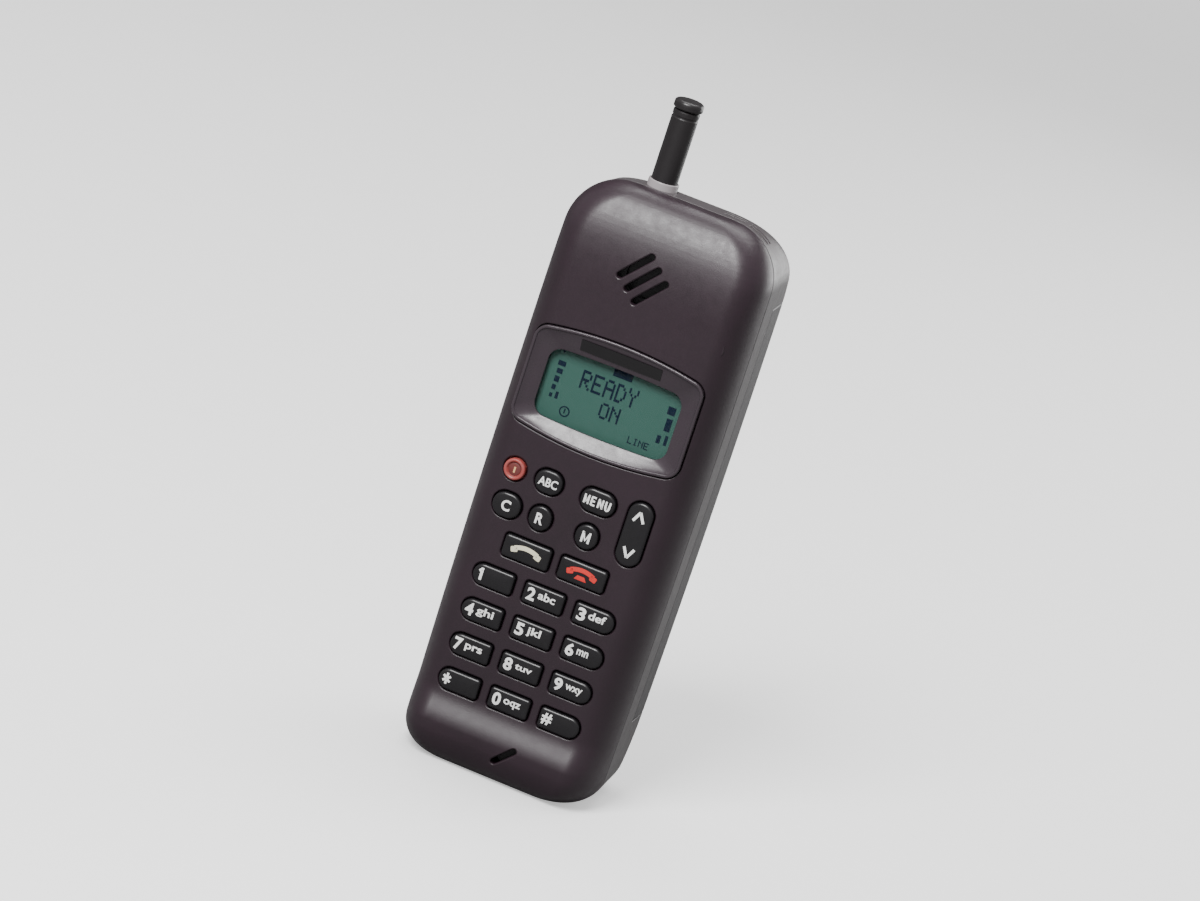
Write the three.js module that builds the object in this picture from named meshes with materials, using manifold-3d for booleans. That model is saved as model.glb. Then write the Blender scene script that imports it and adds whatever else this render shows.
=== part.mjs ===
// Early mobile brick phone, standing upright on its flat foot.
// Millimetres. +Z runs up the phone, the keys face -Y and +X is to the right of someone who faces the keys.
// The origin is the middle of the foot, under the middle of the phone's depth.
import * as THREE from 'three';
import { mergeVertices } from 'three/addons/utils/BufferGeometryUtils.js';
import Module from 'manifold-3d';

const wasm = await Module();
wasm.setup();

// ---------------------------------------------------------------- driving dimensions
const bodyLength = 163.5;
const bodyWidth = 58.8;
const bodyDepth = 45;
const wall = 2;
const bayWall = 1.4;
const touchGap = 0.3;

// Side profile of the phone
const chinRise = 3;
const chinHeight = 10;
const chinDepth = 7;
const rampTop = 20;
const crownLength = 26;
const crownDepth = 11;
const heelHeight = 23;
const heelDepth = 14;
const shoulderHeight = 22;
const shoulderDepth = 24.5;

// Front outline and cross-section of the phone
const widestHeight = 107;
const footNarrowing = 1.2;
const topCorner = 15;
const footCorner = 8.5;
const flankWidth = 8.5;
const frontCoverDepth = 13;
const rearCorner = 8;
const sideDraft = 1;

// Battery pack
const packThickness = 18.5;
const packBottom = heelHeight;
const packTop = bodyLength - 21;
const packWall = 1.6;
const coverPlateThickness = 1.4;
const packTravelGap = 0.15;
const cellSpacing = 1;
const latchWell = { half: 8, low: packTop - 16, high: packTop - 3, depth: 4.6 };
const latchPlate = { half: latchWell.half - touchGap, low: packTop - 13, high: packTop - 3.8, thickness: 1.3 };
const latchTongue = { half: 3, thickness: 1.6, high: packTop + 1 };
const latchPost = 2.6;
const fingerGroove = { count: 4, pitch: 2, width: 0.8, depth: 0.5, first: 1.2, side: 1 };
const spring = { wire: 0.22, radius: 1, turns: 5, standOff: 1.3 };

// Keys
const keyProud = 1;
const keyGap = 0.3;
const keyFlange = 0.6;
const flangeThickness = 0.8;
const flangeSetback = 0.45;
const keyTravel = 0.8;
const rockerSetback = 0.2;
const numberKey = { width: 11.5, height: 5.8, round: 2.8, square: 0.9 };
const numberColumnPitch = 14.6;
const numberRowPitch = 10.12;
const lowestRow = 22.5;
const callKey = { width: 13.4, height: 6.2, round: 1 };

// Display
const displayHeight = 109;
const displayOffset = -0.5;
const bezelSize = { width: 48.2, height: 31, arch: 2.6, round: 3.2 };
const bezelProud = 0.4;
const bezelLip = 0.9;
const bezelThickness = 2.9;
const viewSize = { width: 38, height: 19.6, arch: 0.6, round: 3.4 };
const viewDrop = 1.2;
const windowLap = 2;
const windowThickness = 1.2;
const lcdThickness = 1.6;
const backlightThickness = 1;
const labelSize = { width: 23, height: 3.4, thickness: 0.5 };

// Earpiece and microphone
const earpieceHeight = 142.7;
const earpieceOffset = -1.7;
const earSlot = { length: 11.3, width: 1.7, pitch: 3.95, angle: 48 };
const earpieceRadius = 7.5;
const micHeight = 8.9;
const micOffset = 3.6;
const micSlot = { length: 8, width: 1.6, angle: 45 };

// Antenna
const antennaX = -8.6;
const antennaY = -1.5;
const antennaStand = 24.5;
const antennaTop = bodyLength + antennaStand;
const antennaRadius = 3.6;
const antennaBore = 1.9;
const antennaRoot = bodyLength - 14;
const capStem = 4;
const capRadius = 4;
const capHeight = 2.6;
const bushWall = 0.45;
const bushRun = 0.1;
const bushProud = 2;
const bushLength = 7;
const bushGap = 0.15;

// Boards and fasteners
const boardThickness = 1.4;
const boardHalfWidth = 21.5;
const boardLow = 20;
const screwShank = 1;
const screwHead = 2.1;
const screwHeadHeight = 1.9;
const screwLength = 15.7;
const bossWall = 1.6;
const upperScrew = { x: bodyWidth / 2 - 7.4, z: bodyLength - 31 };
const lowerScrew = { x: 15, z: 11.5 };
const boardHigh = upperScrew.z - screwHead - bossWall - 1;
const shield = { half: 18, low: 76, high: boardHigh - 6, depth: 5, sheet: 0.6 };
const cardReader = { half: 14, low: 46, high: 72, depth: 3, sheet: 0.8, slotHalf: 6, slotLow: 50, slotHigh: 60 };
const contactStrip = { half: 18, height: 1.6 };
const antennaSpring = { width: 2.4, sheet: 0.7, foot: boardHigh - 2.5, reach: 7 };

// Sounders
const ringer = { x: 16, z: bodyLength - 17, radius: 6, depth: 4.5 };
const ringerSlot = { width: 6, depth: 1.2, step: 7.4, low: bodyLength - 10 };
const gasket = { bore: 5.5, thickness: 0.8 };
const capsuleDepth = 4.5;
const microphone = { radius: 3, front: 4.2, depth: 2.8 };

// Plug and pack contacts
const connector = { half: 9, depth: 6.2, height: 7, rim: 1.2, sideRim: 1.5, socket: 4.5 };
const packContact = { half: 9, low: 34, high: 40 };

// ---------------------------------------------------------------- derived places
const chinY = -bodyDepth / 2;
const faceY = chinY + chinRise;
const backY = bodyDepth / 2;
const seamY = faceY + frontCoverDepth;
const bayY = backY - packThickness;
const innerFaceY = faceY + wall;
const bayFloorY = bayY - bayWall;
const flangeY = innerFaceY + flangeSetback;
const matFrontY = flangeY + flangeThickness + keyTravel + touchGap;
const matThickness = 1.2;
const keypadBoardY = matFrontY + matThickness + touchGap;
const bezelFrontY = faceY - bezelProud;
const bezelBackY = bezelFrontY + bezelThickness;
const windowY = bezelBackY + touchGap;
const lcdY = windowY + windowThickness + touchGap;
const backlightY = lcdY + lcdThickness + touchGap;
const mainBoardY = seamY - 2.7;
const mainBoardBackY = mainBoardY + boardThickness;
const onBoardY = mainBoardBackY + touchGap;
const latchFloorY = backY - latchWell.depth;
const latchTongueY = latchFloorY + touchGap;
const cellRadius = (packThickness - packTravelGap - coverPlateThickness - packWall - 3 * touchGap) / 2;
const cellPitch = 2 * cellRadius + cellSpacing;
const packLow = packBottom + packTravelGap;
const packHigh = packTop - packTravelGap;
const packFront = bayY + packTravelGap;
const cellBase = packLow + packWall + touchGap;
const cellLength = (latchWell.low - packWall - touchGap - cellBase - touchGap) / 2;
const connectorY = seamY + 0.9;

// ---------------------------------------------------------------- solids
function asSolid(geometry) {
  const bare = geometry.clone();
  bare.deleteAttribute('normal');
  bare.deleteAttribute('uv');
  const merged = mergeVertices(bare, 1e-4);
  const index = merged.index.array;
  const kept = [];
  for (let i = 0; i < index.length; i += 3) {
    const [a, b, c] = [index[i], index[i + 1], index[i + 2]];
    if (a !== b && b !== c && c !== a) kept.push(a, b, c);
  }
  return new wasm.Manifold(new wasm.Mesh({
    numProp: 3,
    vertProperties: new Float32Array(merged.attributes.position.array),
    triVerts: new Uint32Array(kept),
  }));
}

function asGeometry(solid) {
  const mesh = solid.getMesh();
  const geometry = new THREE.BufferGeometry();
  geometry.setAttribute('position', new THREE.BufferAttribute(new Float32Array(mesh.vertProperties), 3));
  geometry.setIndex(new THREE.BufferAttribute(new Uint32Array(mesh.triVerts), 1));
  geometry.computeVertexNormals();
  return geometry;
}

function box(x0, x1, y0, y1, z0, z1) {
  const geometry = new THREE.BoxGeometry(x1 - x0, y1 - y0, z1 - z0);
  geometry.translate((x0 + x1) / 2, (y0 + y1) / 2, (z0 + z1) / 2);
  return asSolid(geometry);
}

// A shape drawn in X and Z, extruded from y0 to y1.
function plateGeometry(shape, y0, y1, curveSegments = 5) {
  const geometry = new THREE.ExtrudeGeometry(shape, { depth: y1 - y0, bevelEnabled: false, curveSegments });
  geometry.rotateX(Math.PI / 2);
  geometry.translate(0, y1, 0);
  return geometry;
}

function plate(shape, y0, y1, curveSegments) {
  return asSolid(plateGeometry(shape, y0, y1, curveSegments));
}

// A cylinder along Y.
function rodY(radius, x, z, y0, y1, sides = 20) {
  const geometry = new THREE.CylinderGeometry(radius, radius, y1 - y0, sides);
  geometry.translate(x, (y0 + y1) / 2, z);
  return asSolid(geometry);
}

// A turned piece about a vertical axis at x, y. The profile is a closed list of [radius, height].
function turned(profile, x, y, sides = 24) {
  const points = profile.map(([radius, height]) => new THREE.Vector2(radius, height));
  const geometry = new THREE.LatheGeometry(points, sides);
  geometry.rotateX(Math.PI / 2);
  geometry.translate(x, y, 0);
  return geometry;
}

// A closed solid through a list of loops that all have the same number of points.
function loft(loops) {
  const count = loops[0].length;
  const positions = loops.flat().flatMap((point) => [point.x, point.y, point.z]);
  const index = [];
  for (let row = 0; row < loops.length - 1; row += 1) {
    for (let i = 0; i < count; i += 1) {
      const next = (i + 1) % count;
      const [a, b] = [row * count + i, row * count + next];
      const [c, d] = [a + count, b + count];
      index.push(a, b, d, a, d, c);
    }
  }
  const last = (loops.length - 1) * count;
  for (let i = 1; i < count - 1; i += 1) {
    index.push(0, i + 1, i);
    index.push(last, last + i, last + i + 1);
  }
  const geometry = new THREE.BufferGeometry();
  geometry.setAttribute('position', new THREE.Float32BufferAttribute(positions, 3));
  geometry.setIndex(index);
  return asSolid(geometry);
}

// ---------------------------------------------------------------- outlines in X and Z
function roundedShape(x, z, width, height, radii) {
  const [lowLeft, lowRight, highRight, highLeft] = Array.isArray(radii) ? radii : [radii, radii, radii, radii];
  const [left, right] = [x - width / 2, x + width / 2];
  const [low, high] = [z - height / 2, z + height / 2];
  const shape = new THREE.Shape();
  shape.moveTo(left + lowLeft, low);
  shape.lineTo(right - lowRight, low);
  shape.absarc(right - lowRight, low + lowRight, lowRight, -Math.PI / 2, 0);
  shape.lineTo(right, high - highRight);
  shape.absarc(right - highRight, high - highRight, highRight, 0, Math.PI / 2);
  shape.lineTo(left + highLeft, high);
  shape.absarc(left + highLeft, high - highLeft, highLeft, Math.PI / 2, Math.PI);
  shape.lineTo(left, low + lowLeft);
  shape.absarc(left + lowLeft, low + lowLeft, lowLeft, Math.PI, 1.5 * Math.PI);
  return shape;
}

// A rounded rectangle whose top and bottom bow outwards by arch, as a loop of points.
function archedPoints(x, z, size, grow = 0, steps = 4) {
  const halfWidth = size.width / 2 + grow;
  const halfHeight = size.height / 2 + grow - size.arch;
  const radius = size.round + grow;
  const flat = halfWidth - radius;
  const loop = [];
  const addCorner = (sideX, sideZ, start) => {
    for (let i = 0; i <= steps; i += 1) {
      const angle = THREE.MathUtils.degToRad(start + (90 * i) / steps);
      const px = sideX * flat + radius * Math.cos(angle);
      loop.push([px, sideZ * (halfHeight - radius) + radius * Math.sin(angle)]);
    }
  };
  const addEdge = (from, sideZ) => {
    for (let i = 1; i < 2 * steps; i += 1) loop.push([from * (1 - i / steps), sideZ * halfHeight]);
  };
  addCorner(1, -1, -90);
  addCorner(1, 1, 0);
  addEdge(flat, 1);
  addCorner(-1, 1, 90);
  addCorner(-1, -1, 180);
  addEdge(-flat, -1);
  const bow = (px) => size.arch * (1 - (px / halfWidth) ** 2);
  return loop.map(([px, pz]) => new THREE.Vector2(x + px, z + pz + Math.sign(pz) * bow(px)));
}

function slotShape(x, z, length, width, angle) {
  const shape = roundedShape(0, 0, length, width, width / 2 - 0.01);
  const turn = THREE.MathUtils.degToRad(angle);
  const points = shape.getPoints(4).map((point) => point.rotateAround(new THREE.Vector2(0, 0), turn));
  return new THREE.Shape(points.map((point) => new THREE.Vector2(point.x + x, point.y + z)));
}

// ---------------------------------------------------------------- the body's outer form
function quarter(centre, reach, share) {
  return centre + reach * Math.sqrt(Math.max(0, 1 - share * share));
}

function frontAt(z) {
  if (z < chinHeight) return quarter(chinY + chinDepth, -chinDepth, (chinHeight - z) / chinHeight);
  if (z < rampTop) {
    const share = (z - chinHeight) / (rampTop - chinHeight);
    return chinY + chinRise * share * share * (3 - 2 * share);
  }
  const crownStart = bodyLength - crownLength;
  if (z > crownStart) return quarter(faceY + crownDepth, -crownDepth, (z - crownStart) / crownLength);
  return faceY;
}

function backAt(z) {
  if (z < heelHeight) return quarter(backY - heelDepth, heelDepth, (heelHeight - z) / heelHeight);
  const shoulderStart = bodyLength - shoulderHeight;
  if (z > shoulderStart) return quarter(backY - shoulderDepth, shoulderDepth, (z - shoulderStart) / shoulderHeight);
  return backY;
}

function halfWidthAt(z) {
  const bow = footNarrowing * ((z - widestHeight) / widestHeight) ** 2;
  let corner = 0;
  if (z < footCorner) corner = footCorner - quarter(0, footCorner, (footCorner - z) / footCorner);
  const cornerStart = bodyLength - topCorner;
  if (z > cornerStart) corner = topCorner - quarter(0, topCorner, (z - cornerStart) / topCorner);
  return bodyWidth / 2 - bow - corner;
}

// One level loop of the body at height z, drawn in by inset all round.
function bodyLoop(z, inset, arcSteps) {
  const outerZ = ((z - inset) / (bodyLength - 2 * inset)) * bodyLength;
  const half = halfWidthAt(outerZ) - inset;
  const front = frontAt(outerZ) + inset;
  const back = backAt(outerZ) - inset;
  const corner = Math.max(0.5, rearCorner - inset);
  const cornerDepth = Math.min(corner, 0.8 * (back - seamY));
  const loop = [];
  const addArc = (cx, cy, rx, ry, start) => {
    for (let i = 0; i <= arcSteps; i += 1) {
      const angle = THREE.MathUtils.degToRad(start + (90 * i) / arcSteps);
      loop.push(new THREE.Vector3(cx + rx * Math.cos(angle), cy + ry * Math.sin(angle), z));
    }
  };
  addArc(half - sideDraft - corner, back - cornerDepth, corner, cornerDepth, 0);
  addArc(-(half - sideDraft - corner), back - cornerDepth, corner, cornerDepth, 90);
  addArc(-(half - flankWidth), seamY, flankWidth, seamY - front, 180);
  addArc(half - flankWidth, seamY, flankWidth, seamY - front, 270);
  return loop;
}

// Heights of the loops: close together where the ends round over, far apart along the straight run.
function bodyHeights(inset, steps) {
  const heights = [];
  const usable = bodyLength - 2 * inset;
  const shoulderStart = bodyLength - shoulderHeight;
  for (let i = 0; i <= steps; i += 1) heights.push(footCorner * (1 - Math.cos((Math.PI / 2) * (i / steps))));
  for (let i = 0; i <= steps; i += 1) heights.push(chinHeight + ((rampTop - chinHeight) * i) / steps);
  heights.push(heelHeight, widestHeight / 2, widestHeight * 0.8, widestHeight, bodyLength - crownLength);
  for (let i = 0; i <= 2 * steps; i += 1) {
    heights.push(shoulderStart + shoulderHeight * Math.sin((Math.PI / 4) * (i / steps)));
  }
  return heights.map((z) => inset + (z / bodyLength) * usable);
}

function bodySolid(inset = 0, steps = 5) {
  return loft(bodyHeights(inset, steps).map((z) => bodyLoop(z, inset, steps)));
}

const outerBody = bodySolid();
const innerBody = bodySolid(wall, 3);
const far = bodyLength + bodyWidth;

// ---------------------------------------------------------------- keys
const plainRound = numberKey.square;
const endRound = numberKey.round;
const columnRounds = {
  [-1]: [endRound, plainRound, plainRound, endRound],
  0: plainRound,
  1: [plainRound, endRound, endRound, plainRound],
};
const keys = [
  { name: 'key_power', x: -18.3, z: 82.8, width: 6, height: 6, radii: 2.95 },
  { name: 'key_abc', x: -8.4, z: 82.9, width: 7.8, height: 6.4, radii: 3.1 },
  { name: 'key_menu', x: 5.8, z: 82.8, width: 9.9, height: 6.4, radii: 3.1 },
  { name: 'key_scroll', x: 17.8, z: 78.3, width: 7, height: 17.8, radii: 3.4, rocker: true },
  { name: 'key_c', x: -17.3, z: 72.9, width: 8, height: 6.8, radii: 3.3 },
  { name: 'key_r', x: -7.6, z: 72.9, width: 6.4, height: 6.8, radii: 3.15 },
  { name: 'key_m', x: 5.8, z: 72.9, width: 6.4, height: 6.8, radii: 3.15 },
  { name: 'key_send', x: -8.2, z: 62.9, ...callKey, radii: callKey.round },
  { name: 'key_end', x: 7.9, z: 62.9, ...callKey, radii: callKey.round },
];
const numberNames = [['star', '0', 'hash'], ['7', '8', '9'], ['4', '5', '6'], ['1', '2', '3']];
numberNames.forEach((names, row) => names.forEach((label, column) => keys.push({
  name: `key_${label}`,
  x: (column - 1) * numberColumnPitch,
  z: lowestRow + row * numberRowPitch,
  width: numberKey.width,
  height: numberKey.height,
  radii: columnRounds[column - 1],
})));

function keyShape(key, grow) {
  const radii = Array.isArray(key.radii) ? key.radii.map((radius) => radius + grow) : key.radii + grow;
  return roundedShape(key.x, key.z, key.width + 2 * grow, key.height + 2 * grow, radii);
}

function keySolid(key) {
  const back = flangeY + (key.rocker ? rockerSetback : 0);
  const cap = plate(keyShape(key, 0), faceY - keyProud, back + flangeThickness / 2, 3);
  return cap.add(plate(keyShape(key, keyGap + keyFlange), back, back + flangeThickness, 2));
}

// The hollow behind the cover's face that the key flanges move in.
const keyMargin = keyGap + keyFlange + touchGap;
const keyField = {
  half: Math.max(...keys.map((key) => Math.abs(key.x) + key.width / 2)) + keyMargin,
  low: Math.min(...keys.map((key) => key.z - key.height / 2)) - keyMargin,
  high: Math.max(...keys.map((key) => key.z + key.height / 2)) + keyMargin,
};

// ---------------------------------------------------------------- display
const bezelLoop = (grow, size = bezelSize) => archedPoints(displayOffset, displayHeight, size, grow);
const viewHeight = displayHeight - viewDrop;
const viewLoop = (grow) => archedPoints(displayOffset, viewHeight, viewSize, grow);
const atDepth = (points, y) => points.map((point) => new THREE.Vector3(point.x, y, point.y));
const bezelSlopeBack = bezelBackY - 0.6;
const slopeTop = displayHeight + bezelSize.height / 2 - bezelLip;
const slopeBottom = viewHeight + viewSize.height / 2;
const labelTilt = Math.atan2(bezelSlopeBack - bezelFrontY, slopeTop - slopeBottom);

// The label lies on the slope between the bezel's lip and the window.
function labelGeometry(grow) {
  const { width, height, thickness } = labelSize;
  const geometry = new THREE.BoxGeometry(width + 2 * grow, thickness + 2 * grow, height + 2 * grow);
  geometry.rotateX(labelTilt);
  const middleY = (bezelFrontY + bezelSlopeBack) / 2 + thickness / 2;
  geometry.translate(displayOffset, middleY, (slopeTop + slopeBottom) / 2);
  return geometry;
}

function bezelSolid() {
  const ring = plate(new THREE.Shape(bezelLoop(0)), bezelFrontY, bezelBackY);
  const funnel = loft([
    atDepth(bezelLoop(-bezelLip), bezelFrontY - touchGap),
    atDepth(bezelLoop(-bezelLip), bezelFrontY),
    atDepth(viewLoop(0), bezelSlopeBack),
    atDepth(viewLoop(0), bezelBackY + touchGap),
  ].reverse());
  return ring.subtract(funnel).subtract(asSolid(labelGeometry(touchGap)));
}

// ---------------------------------------------------------------- covers
const screws = [-1, 1].flatMap((side) => [upperScrew, lowerScrew].map(({ x, z }) => ({ x: side * x, z })));
const headSeatY = bayFloorY + bayWall - 0.4 - screwHeadHeight;
const frontCoverBack = seamY - touchGap / 2;
const rearCoverFront = seamY + touchGap / 2;

// The earpiece sits in a flat-bottomed seat cut into the curved wall.
const gasketY = frontAt(earpieceHeight + earpieceRadius) + wall + touchGap;

function frontCoverSolid() {
  const half = box(-far, far, -far, frontCoverBack, -far, far);
  let cover = outerBody.subtract(innerBody).intersect(half);
  for (const { x, z } of screws) {
    const boss = rodY(screwShank + bossWall, x, z, frontAt(z) + wall / 2, frontCoverBack);
    cover = cover.add(boss.intersect(outerBody));
  }
  for (const { x, z } of screws) {
    const tip = headSeatY - screwLength - touchGap;
    cover = cover.subtract(rodY(screwShank + touchGap, x, z, tip, seamY, 12));
  }
  const { half: fieldHalf, low, high } = keyField;
  cover = cover.subtract(box(-fieldHalf, fieldHalf, innerFaceY - 0.01, keypadBoardY + boardThickness, low, high));
  for (const key of keys) {
    cover = cover.subtract(plate(keyShape(key, keyGap), chinY - 1, flangeY, 3));
  }
  cover = cover.subtract(plate(new THREE.Shape(bezelLoop(touchGap)), chinY - 1, bezelBackY));
  const seat = rodY(earpieceRadius + touchGap, earpieceOffset, earpieceHeight, gasketY - touchGap, seamY, 28);
  cover = cover.subtract(seat);
  const displayBack = backlightY + backlightThickness + touchGap;
  cover = cover.subtract(plate(new THREE.Shape(viewLoop(windowLap + 1 + touchGap)), bezelBackY, displayBack));
  const across = THREE.MathUtils.degToRad(earSlot.angle - 90);
  for (const step of [-1, 0, 1]) {
    const x = earpieceOffset + step * earSlot.pitch * Math.cos(across);
    const z = earpieceHeight + step * earSlot.pitch * Math.sin(across);
    const shape = slotShape(x, z, earSlot.length, earSlot.width, earSlot.angle);
    cover = cover.subtract(plate(shape, chinY - 1, innerFaceY + wall));
  }
  const mic = slotShape(micOffset, micHeight, micSlot.length, micSlot.width, micSlot.angle);
  return cover.subtract(plate(mic, chinY - 1, innerFaceY));
}

// The room that the battery pack takes, grown by grow at its two ends and its inner face.
function packRoom(grow, y1 = far) {
  return box(-far, far, bayY - grow, y1, packBottom - grow, packTop + grow);
}

function rearCoverSolid() {
  const rear = box(-far, far, rearCoverFront, far, -far, far);
  let cover = outerBody.intersect(rear);
  cover = cover.subtract(packRoom(0));
  cover = cover.subtract(innerBody.subtract(packRoom(bayWall)));
  for (const { x, z } of screws) {
    const back = z < packBottom ? backAt(z) : bayY;
    const boss = rodY(screwHead + bossWall, x, z, rearCoverFront, back);
    cover = cover.add(boss.intersect(outerBody));
  }
  for (const { x, z } of screws) {
    cover = cover.subtract(rodY(screwShank + touchGap, x, z, rearCoverFront - 1, headSeatY + 1, 12));
    cover = cover.subtract(rodY(screwHead + touchGap, x, z, headSeatY, backY + 1, 16));
  }
  const sleeve = antennaRadius + bushRun + bushWall + bushGap;
  const bore = [[0, bodyLength - wall - 3], [sleeve, bodyLength - wall - 3], [sleeve, far], [0, far]];
  cover = cover.subtract(asSolid(turned(bore, antennaX, antennaY)));
  cover = cover.subtract(box(-connector.half - touchGap, connector.half + touchGap,
    connectorY - touchGap, connectorY + connector.depth + touchGap, -1, connector.height));
  cover = cover.subtract(box(-packContact.half - touchGap, packContact.half + touchGap, bayFloorY - 1, bayY + 1,
    packContact.low - touchGap, packContact.high + touchGap));
  for (const [column, row] of [[0, 0], [0, 1], [1, 0], [1, 1]]) {
    const x = ringer.x - ringer.radius + column * ringerSlot.step;
    const y = seamY + touchGap + (2 + 2 * row) * ringerSlot.depth;
    const slot = box(x, x + ringerSlot.width, y, y + ringerSlot.depth, ringerSlot.low, bodyLength + 1);
    cover = cover.subtract(slot);
  }
  const tongueRoom = box(-latchTongue.half - touchGap, latchTongue.half + touchGap,
    latchTongueY - touchGap, far, packTop - 1, latchTongue.high + touchGap);
  return cover.subtract(tongueRoom);
}

// ---------------------------------------------------------------- battery pack
const innerPack = bodySolid(packWall, 3);
const cavityBack = backY - packWall;

function packShellSolid() {
  const block = outerBody.intersect(box(-far, far, packFront, far, packLow, packHigh));
  const well = latchWell;
  const wellSolid = box(-well.half, well.half, latchFloorY, far, well.low, well.high);
  const wellRoom = box(-well.half - packWall, well.half + packWall, latchFloorY - packWall, far,
    well.low - packWall, packHigh);
  const hollow = innerPack
    .intersect(box(-far, far, packFront - 1, cavityBack, packLow + packWall, packHigh - packWall))
    .subtract(wellRoom);
  const slit = box(-latchTongue.half - touchGap, latchTongue.half + touchGap,
    latchFloorY, latchTongueY + latchTongue.thickness + touchGap, well.high - 1, packHigh + 1);
  return block.subtract(hollow).subtract(wellSolid).subtract(slit);
}

function coverPlateSolid() {
  const room = bodySolid(packWall + touchGap, 3);
  const low = packLow + packWall + touchGap;
  const high = packHigh - packWall - touchGap;
  const front = packFront + touchGap;
  return room.intersect(box(-far, far, front, front + coverPlateThickness, low, high));
}

function latchSolid() {
  const { half, low, high, thickness } = latchPlate;
  const face = backY - touchGap;
  let latch = box(-half, half, face - thickness, face, low, high);
  const groove = fingerGroove;
  for (let i = 0; i < groove.count; i += 1) {
    const z = low + groove.first + i * groove.pitch;
    latch = latch.subtract(box(-half + groove.side, half - groove.side, face - groove.depth, face + 1,
      z, z + groove.width));
  }
  const tongue = box(-latchTongue.half, latchTongue.half, latchTongueY, latchTongueY + latchTongue.thickness,
    high - latchPost, latchTongue.high);
  const post = box(-latchTongue.half, latchTongue.half, latchTongueY, face - thickness / 2, high - latchPost, high);
  return latch.add(tongue).add(post);
}

// ---------------------------------------------------------------- small parts
class Helix extends THREE.Curve {
  constructor(radius, x, y, low, high, turns) {
    super();
    Object.assign(this, { radius, x, y, low, high, turns });
  }

  getPoint(share, target = new THREE.Vector3()) {
    const angle = 2 * Math.PI * this.turns * share;
    const z = this.low + (this.high - this.low) * share;
    return target.set(this.x + this.radius * Math.cos(angle), this.y + this.radius * Math.sin(angle), z);
  }
}

function springGeometry() {
  const { wire, radius, turns, standOff } = spring;
  const section = new THREE.Shape();
  section.absarc(0, 0, wire, 0, 2 * Math.PI);
  const low = latchWell.low + touchGap + wire;
  const high = latchPlate.high - latchPost - touchGap - wire;
  const path = new Helix(radius, 0, latchTongueY + standOff, low, high, turns);
  return new THREE.ExtrudeGeometry(section, { steps: 40, curveSegments: 2, extrudePath: path, bevelEnabled: false });
}

function ringGeometry(x, z, outer, inner, y0, y1) {
  return asGeometry(rodY(outer, x, z, y0, y1, 28).subtract(rodY(inner, x, z, y0 - 1, y1 + 1, 20)));
}

// A flat-backed tray that opens towards -Y.
function traySolid({ half, low, high, depth, sheet }, y0) {
  const hollow = box(-half + sheet, half - sheet, y0 - 1, y0 + depth - sheet, low + sheet, high - sheet);
  return box(-half, half, y0, y0 + depth, low, high).subtract(hollow);
}

// ---------------------------------------------------------------- materials
const finish = (color, roughness, metalness = 0) => new THREE.MeshStandardMaterial({ color, roughness, metalness });
const aubergine = finish(0x4a3f47, 0.5);
const greyPlastic = finish(0x9a9094, 0.5);
const keyBlack = finish(0x232024, 0.4);
const ringRed = finish(0xb04a48, 0.5);
const gloss = finish(0x101012, 0.15);
const clear = finish(0x9fb8b0, 0.1);
const lcdTeal = finish(0x467869, 0.3);
const boardGreen = finish(0x2b5a3a, 0.6);
const steel = finish(0xb8bac0, 0.35, 1);
const brassLike = finish(0xc8a24a, 0.35, 1);
const rubber = finish(0x3a3a3c, 0.8);
const innerBlack = finish(0x1c1c1e, 0.6);
const cellWrap = finish(0x3f6e8e, 0.45);

// ---------------------------------------------------------------- the assembly
const phone = new THREE.Group();

function place(name, shape, material, parent = phone) {
  const geometry = shape.isBufferGeometry ? shape : asGeometry(shape);
  const mesh = new THREE.Mesh(geometry, material);
  mesh.name = name;
  parent.add(mesh);
  return mesh;
}

place('front_cover', frontCoverSolid(), aubergine);
place('rear_cover', rearCoverSolid(), greyPlastic);

place('display_bezel', bezelSolid(), aubergine);
place('label_plate', labelGeometry(0), gloss);
const windowShape = new THREE.Shape(viewLoop(windowLap));
place('display_window', plateGeometry(windowShape, windowY, windowY + windowThickness), clear);
place('lcd_glass', plateGeometry(new THREE.Shape(viewLoop(1)), lcdY, lcdY + lcdThickness), lcdTeal);
const frameOuter = plate(new THREE.Shape(viewLoop(windowLap + 1)), lcdY, lcdY + lcdThickness);
const frameInner = plate(new THREE.Shape(viewLoop(1 + touchGap)), lcdY - 1, lcdY + lcdThickness + 1);
place('lcd_frame', frameOuter.subtract(frameInner), innerBlack);
place('backlight_plate', plateGeometry(windowShape, backlightY, backlightY + backlightThickness), clear);

const keypadTop = keyField.high - touchGap;
const padHalf = keyField.half - touchGap;
const padLow = keyField.low + touchGap;
const padShape = roundedShape(0, (padLow + keypadTop) / 2, 2 * padHalf, keypadTop - padLow, 3);
place('keypad_mat', plateGeometry(padShape, matFrontY, matFrontY + matThickness), rubber);
place('keypad_board', plateGeometry(padShape, keypadBoardY, keypadBoardY + boardThickness - touchGap), boardGreen);

const boardShape = roundedShape(0, (boardLow + boardHigh) / 2, 2 * boardHalfWidth, boardHigh - boardLow, 2);
place('main_board', plateGeometry(boardShape, mainBoardY, mainBoardBackY), boardGreen);
const stripLow = keypadTop + touchGap;
place('contact_strip', box(-contactStrip.half, contactStrip.half, keypadBoardY, mainBoardY - touchGap,
  stripLow, stripLow + contactStrip.height), rubber);
place('rf_shield', traySolid(shield, onBoardY), steel);
const cardSlot = box(-cardReader.slotHalf, cardReader.slotHalf, onBoardY, onBoardY + cardReader.depth + 1,
  cardReader.slotLow, cardReader.slotHigh);
place('sim_reader', traySolid(cardReader, onBoardY).subtract(cardSlot), innerBlack);

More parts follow.
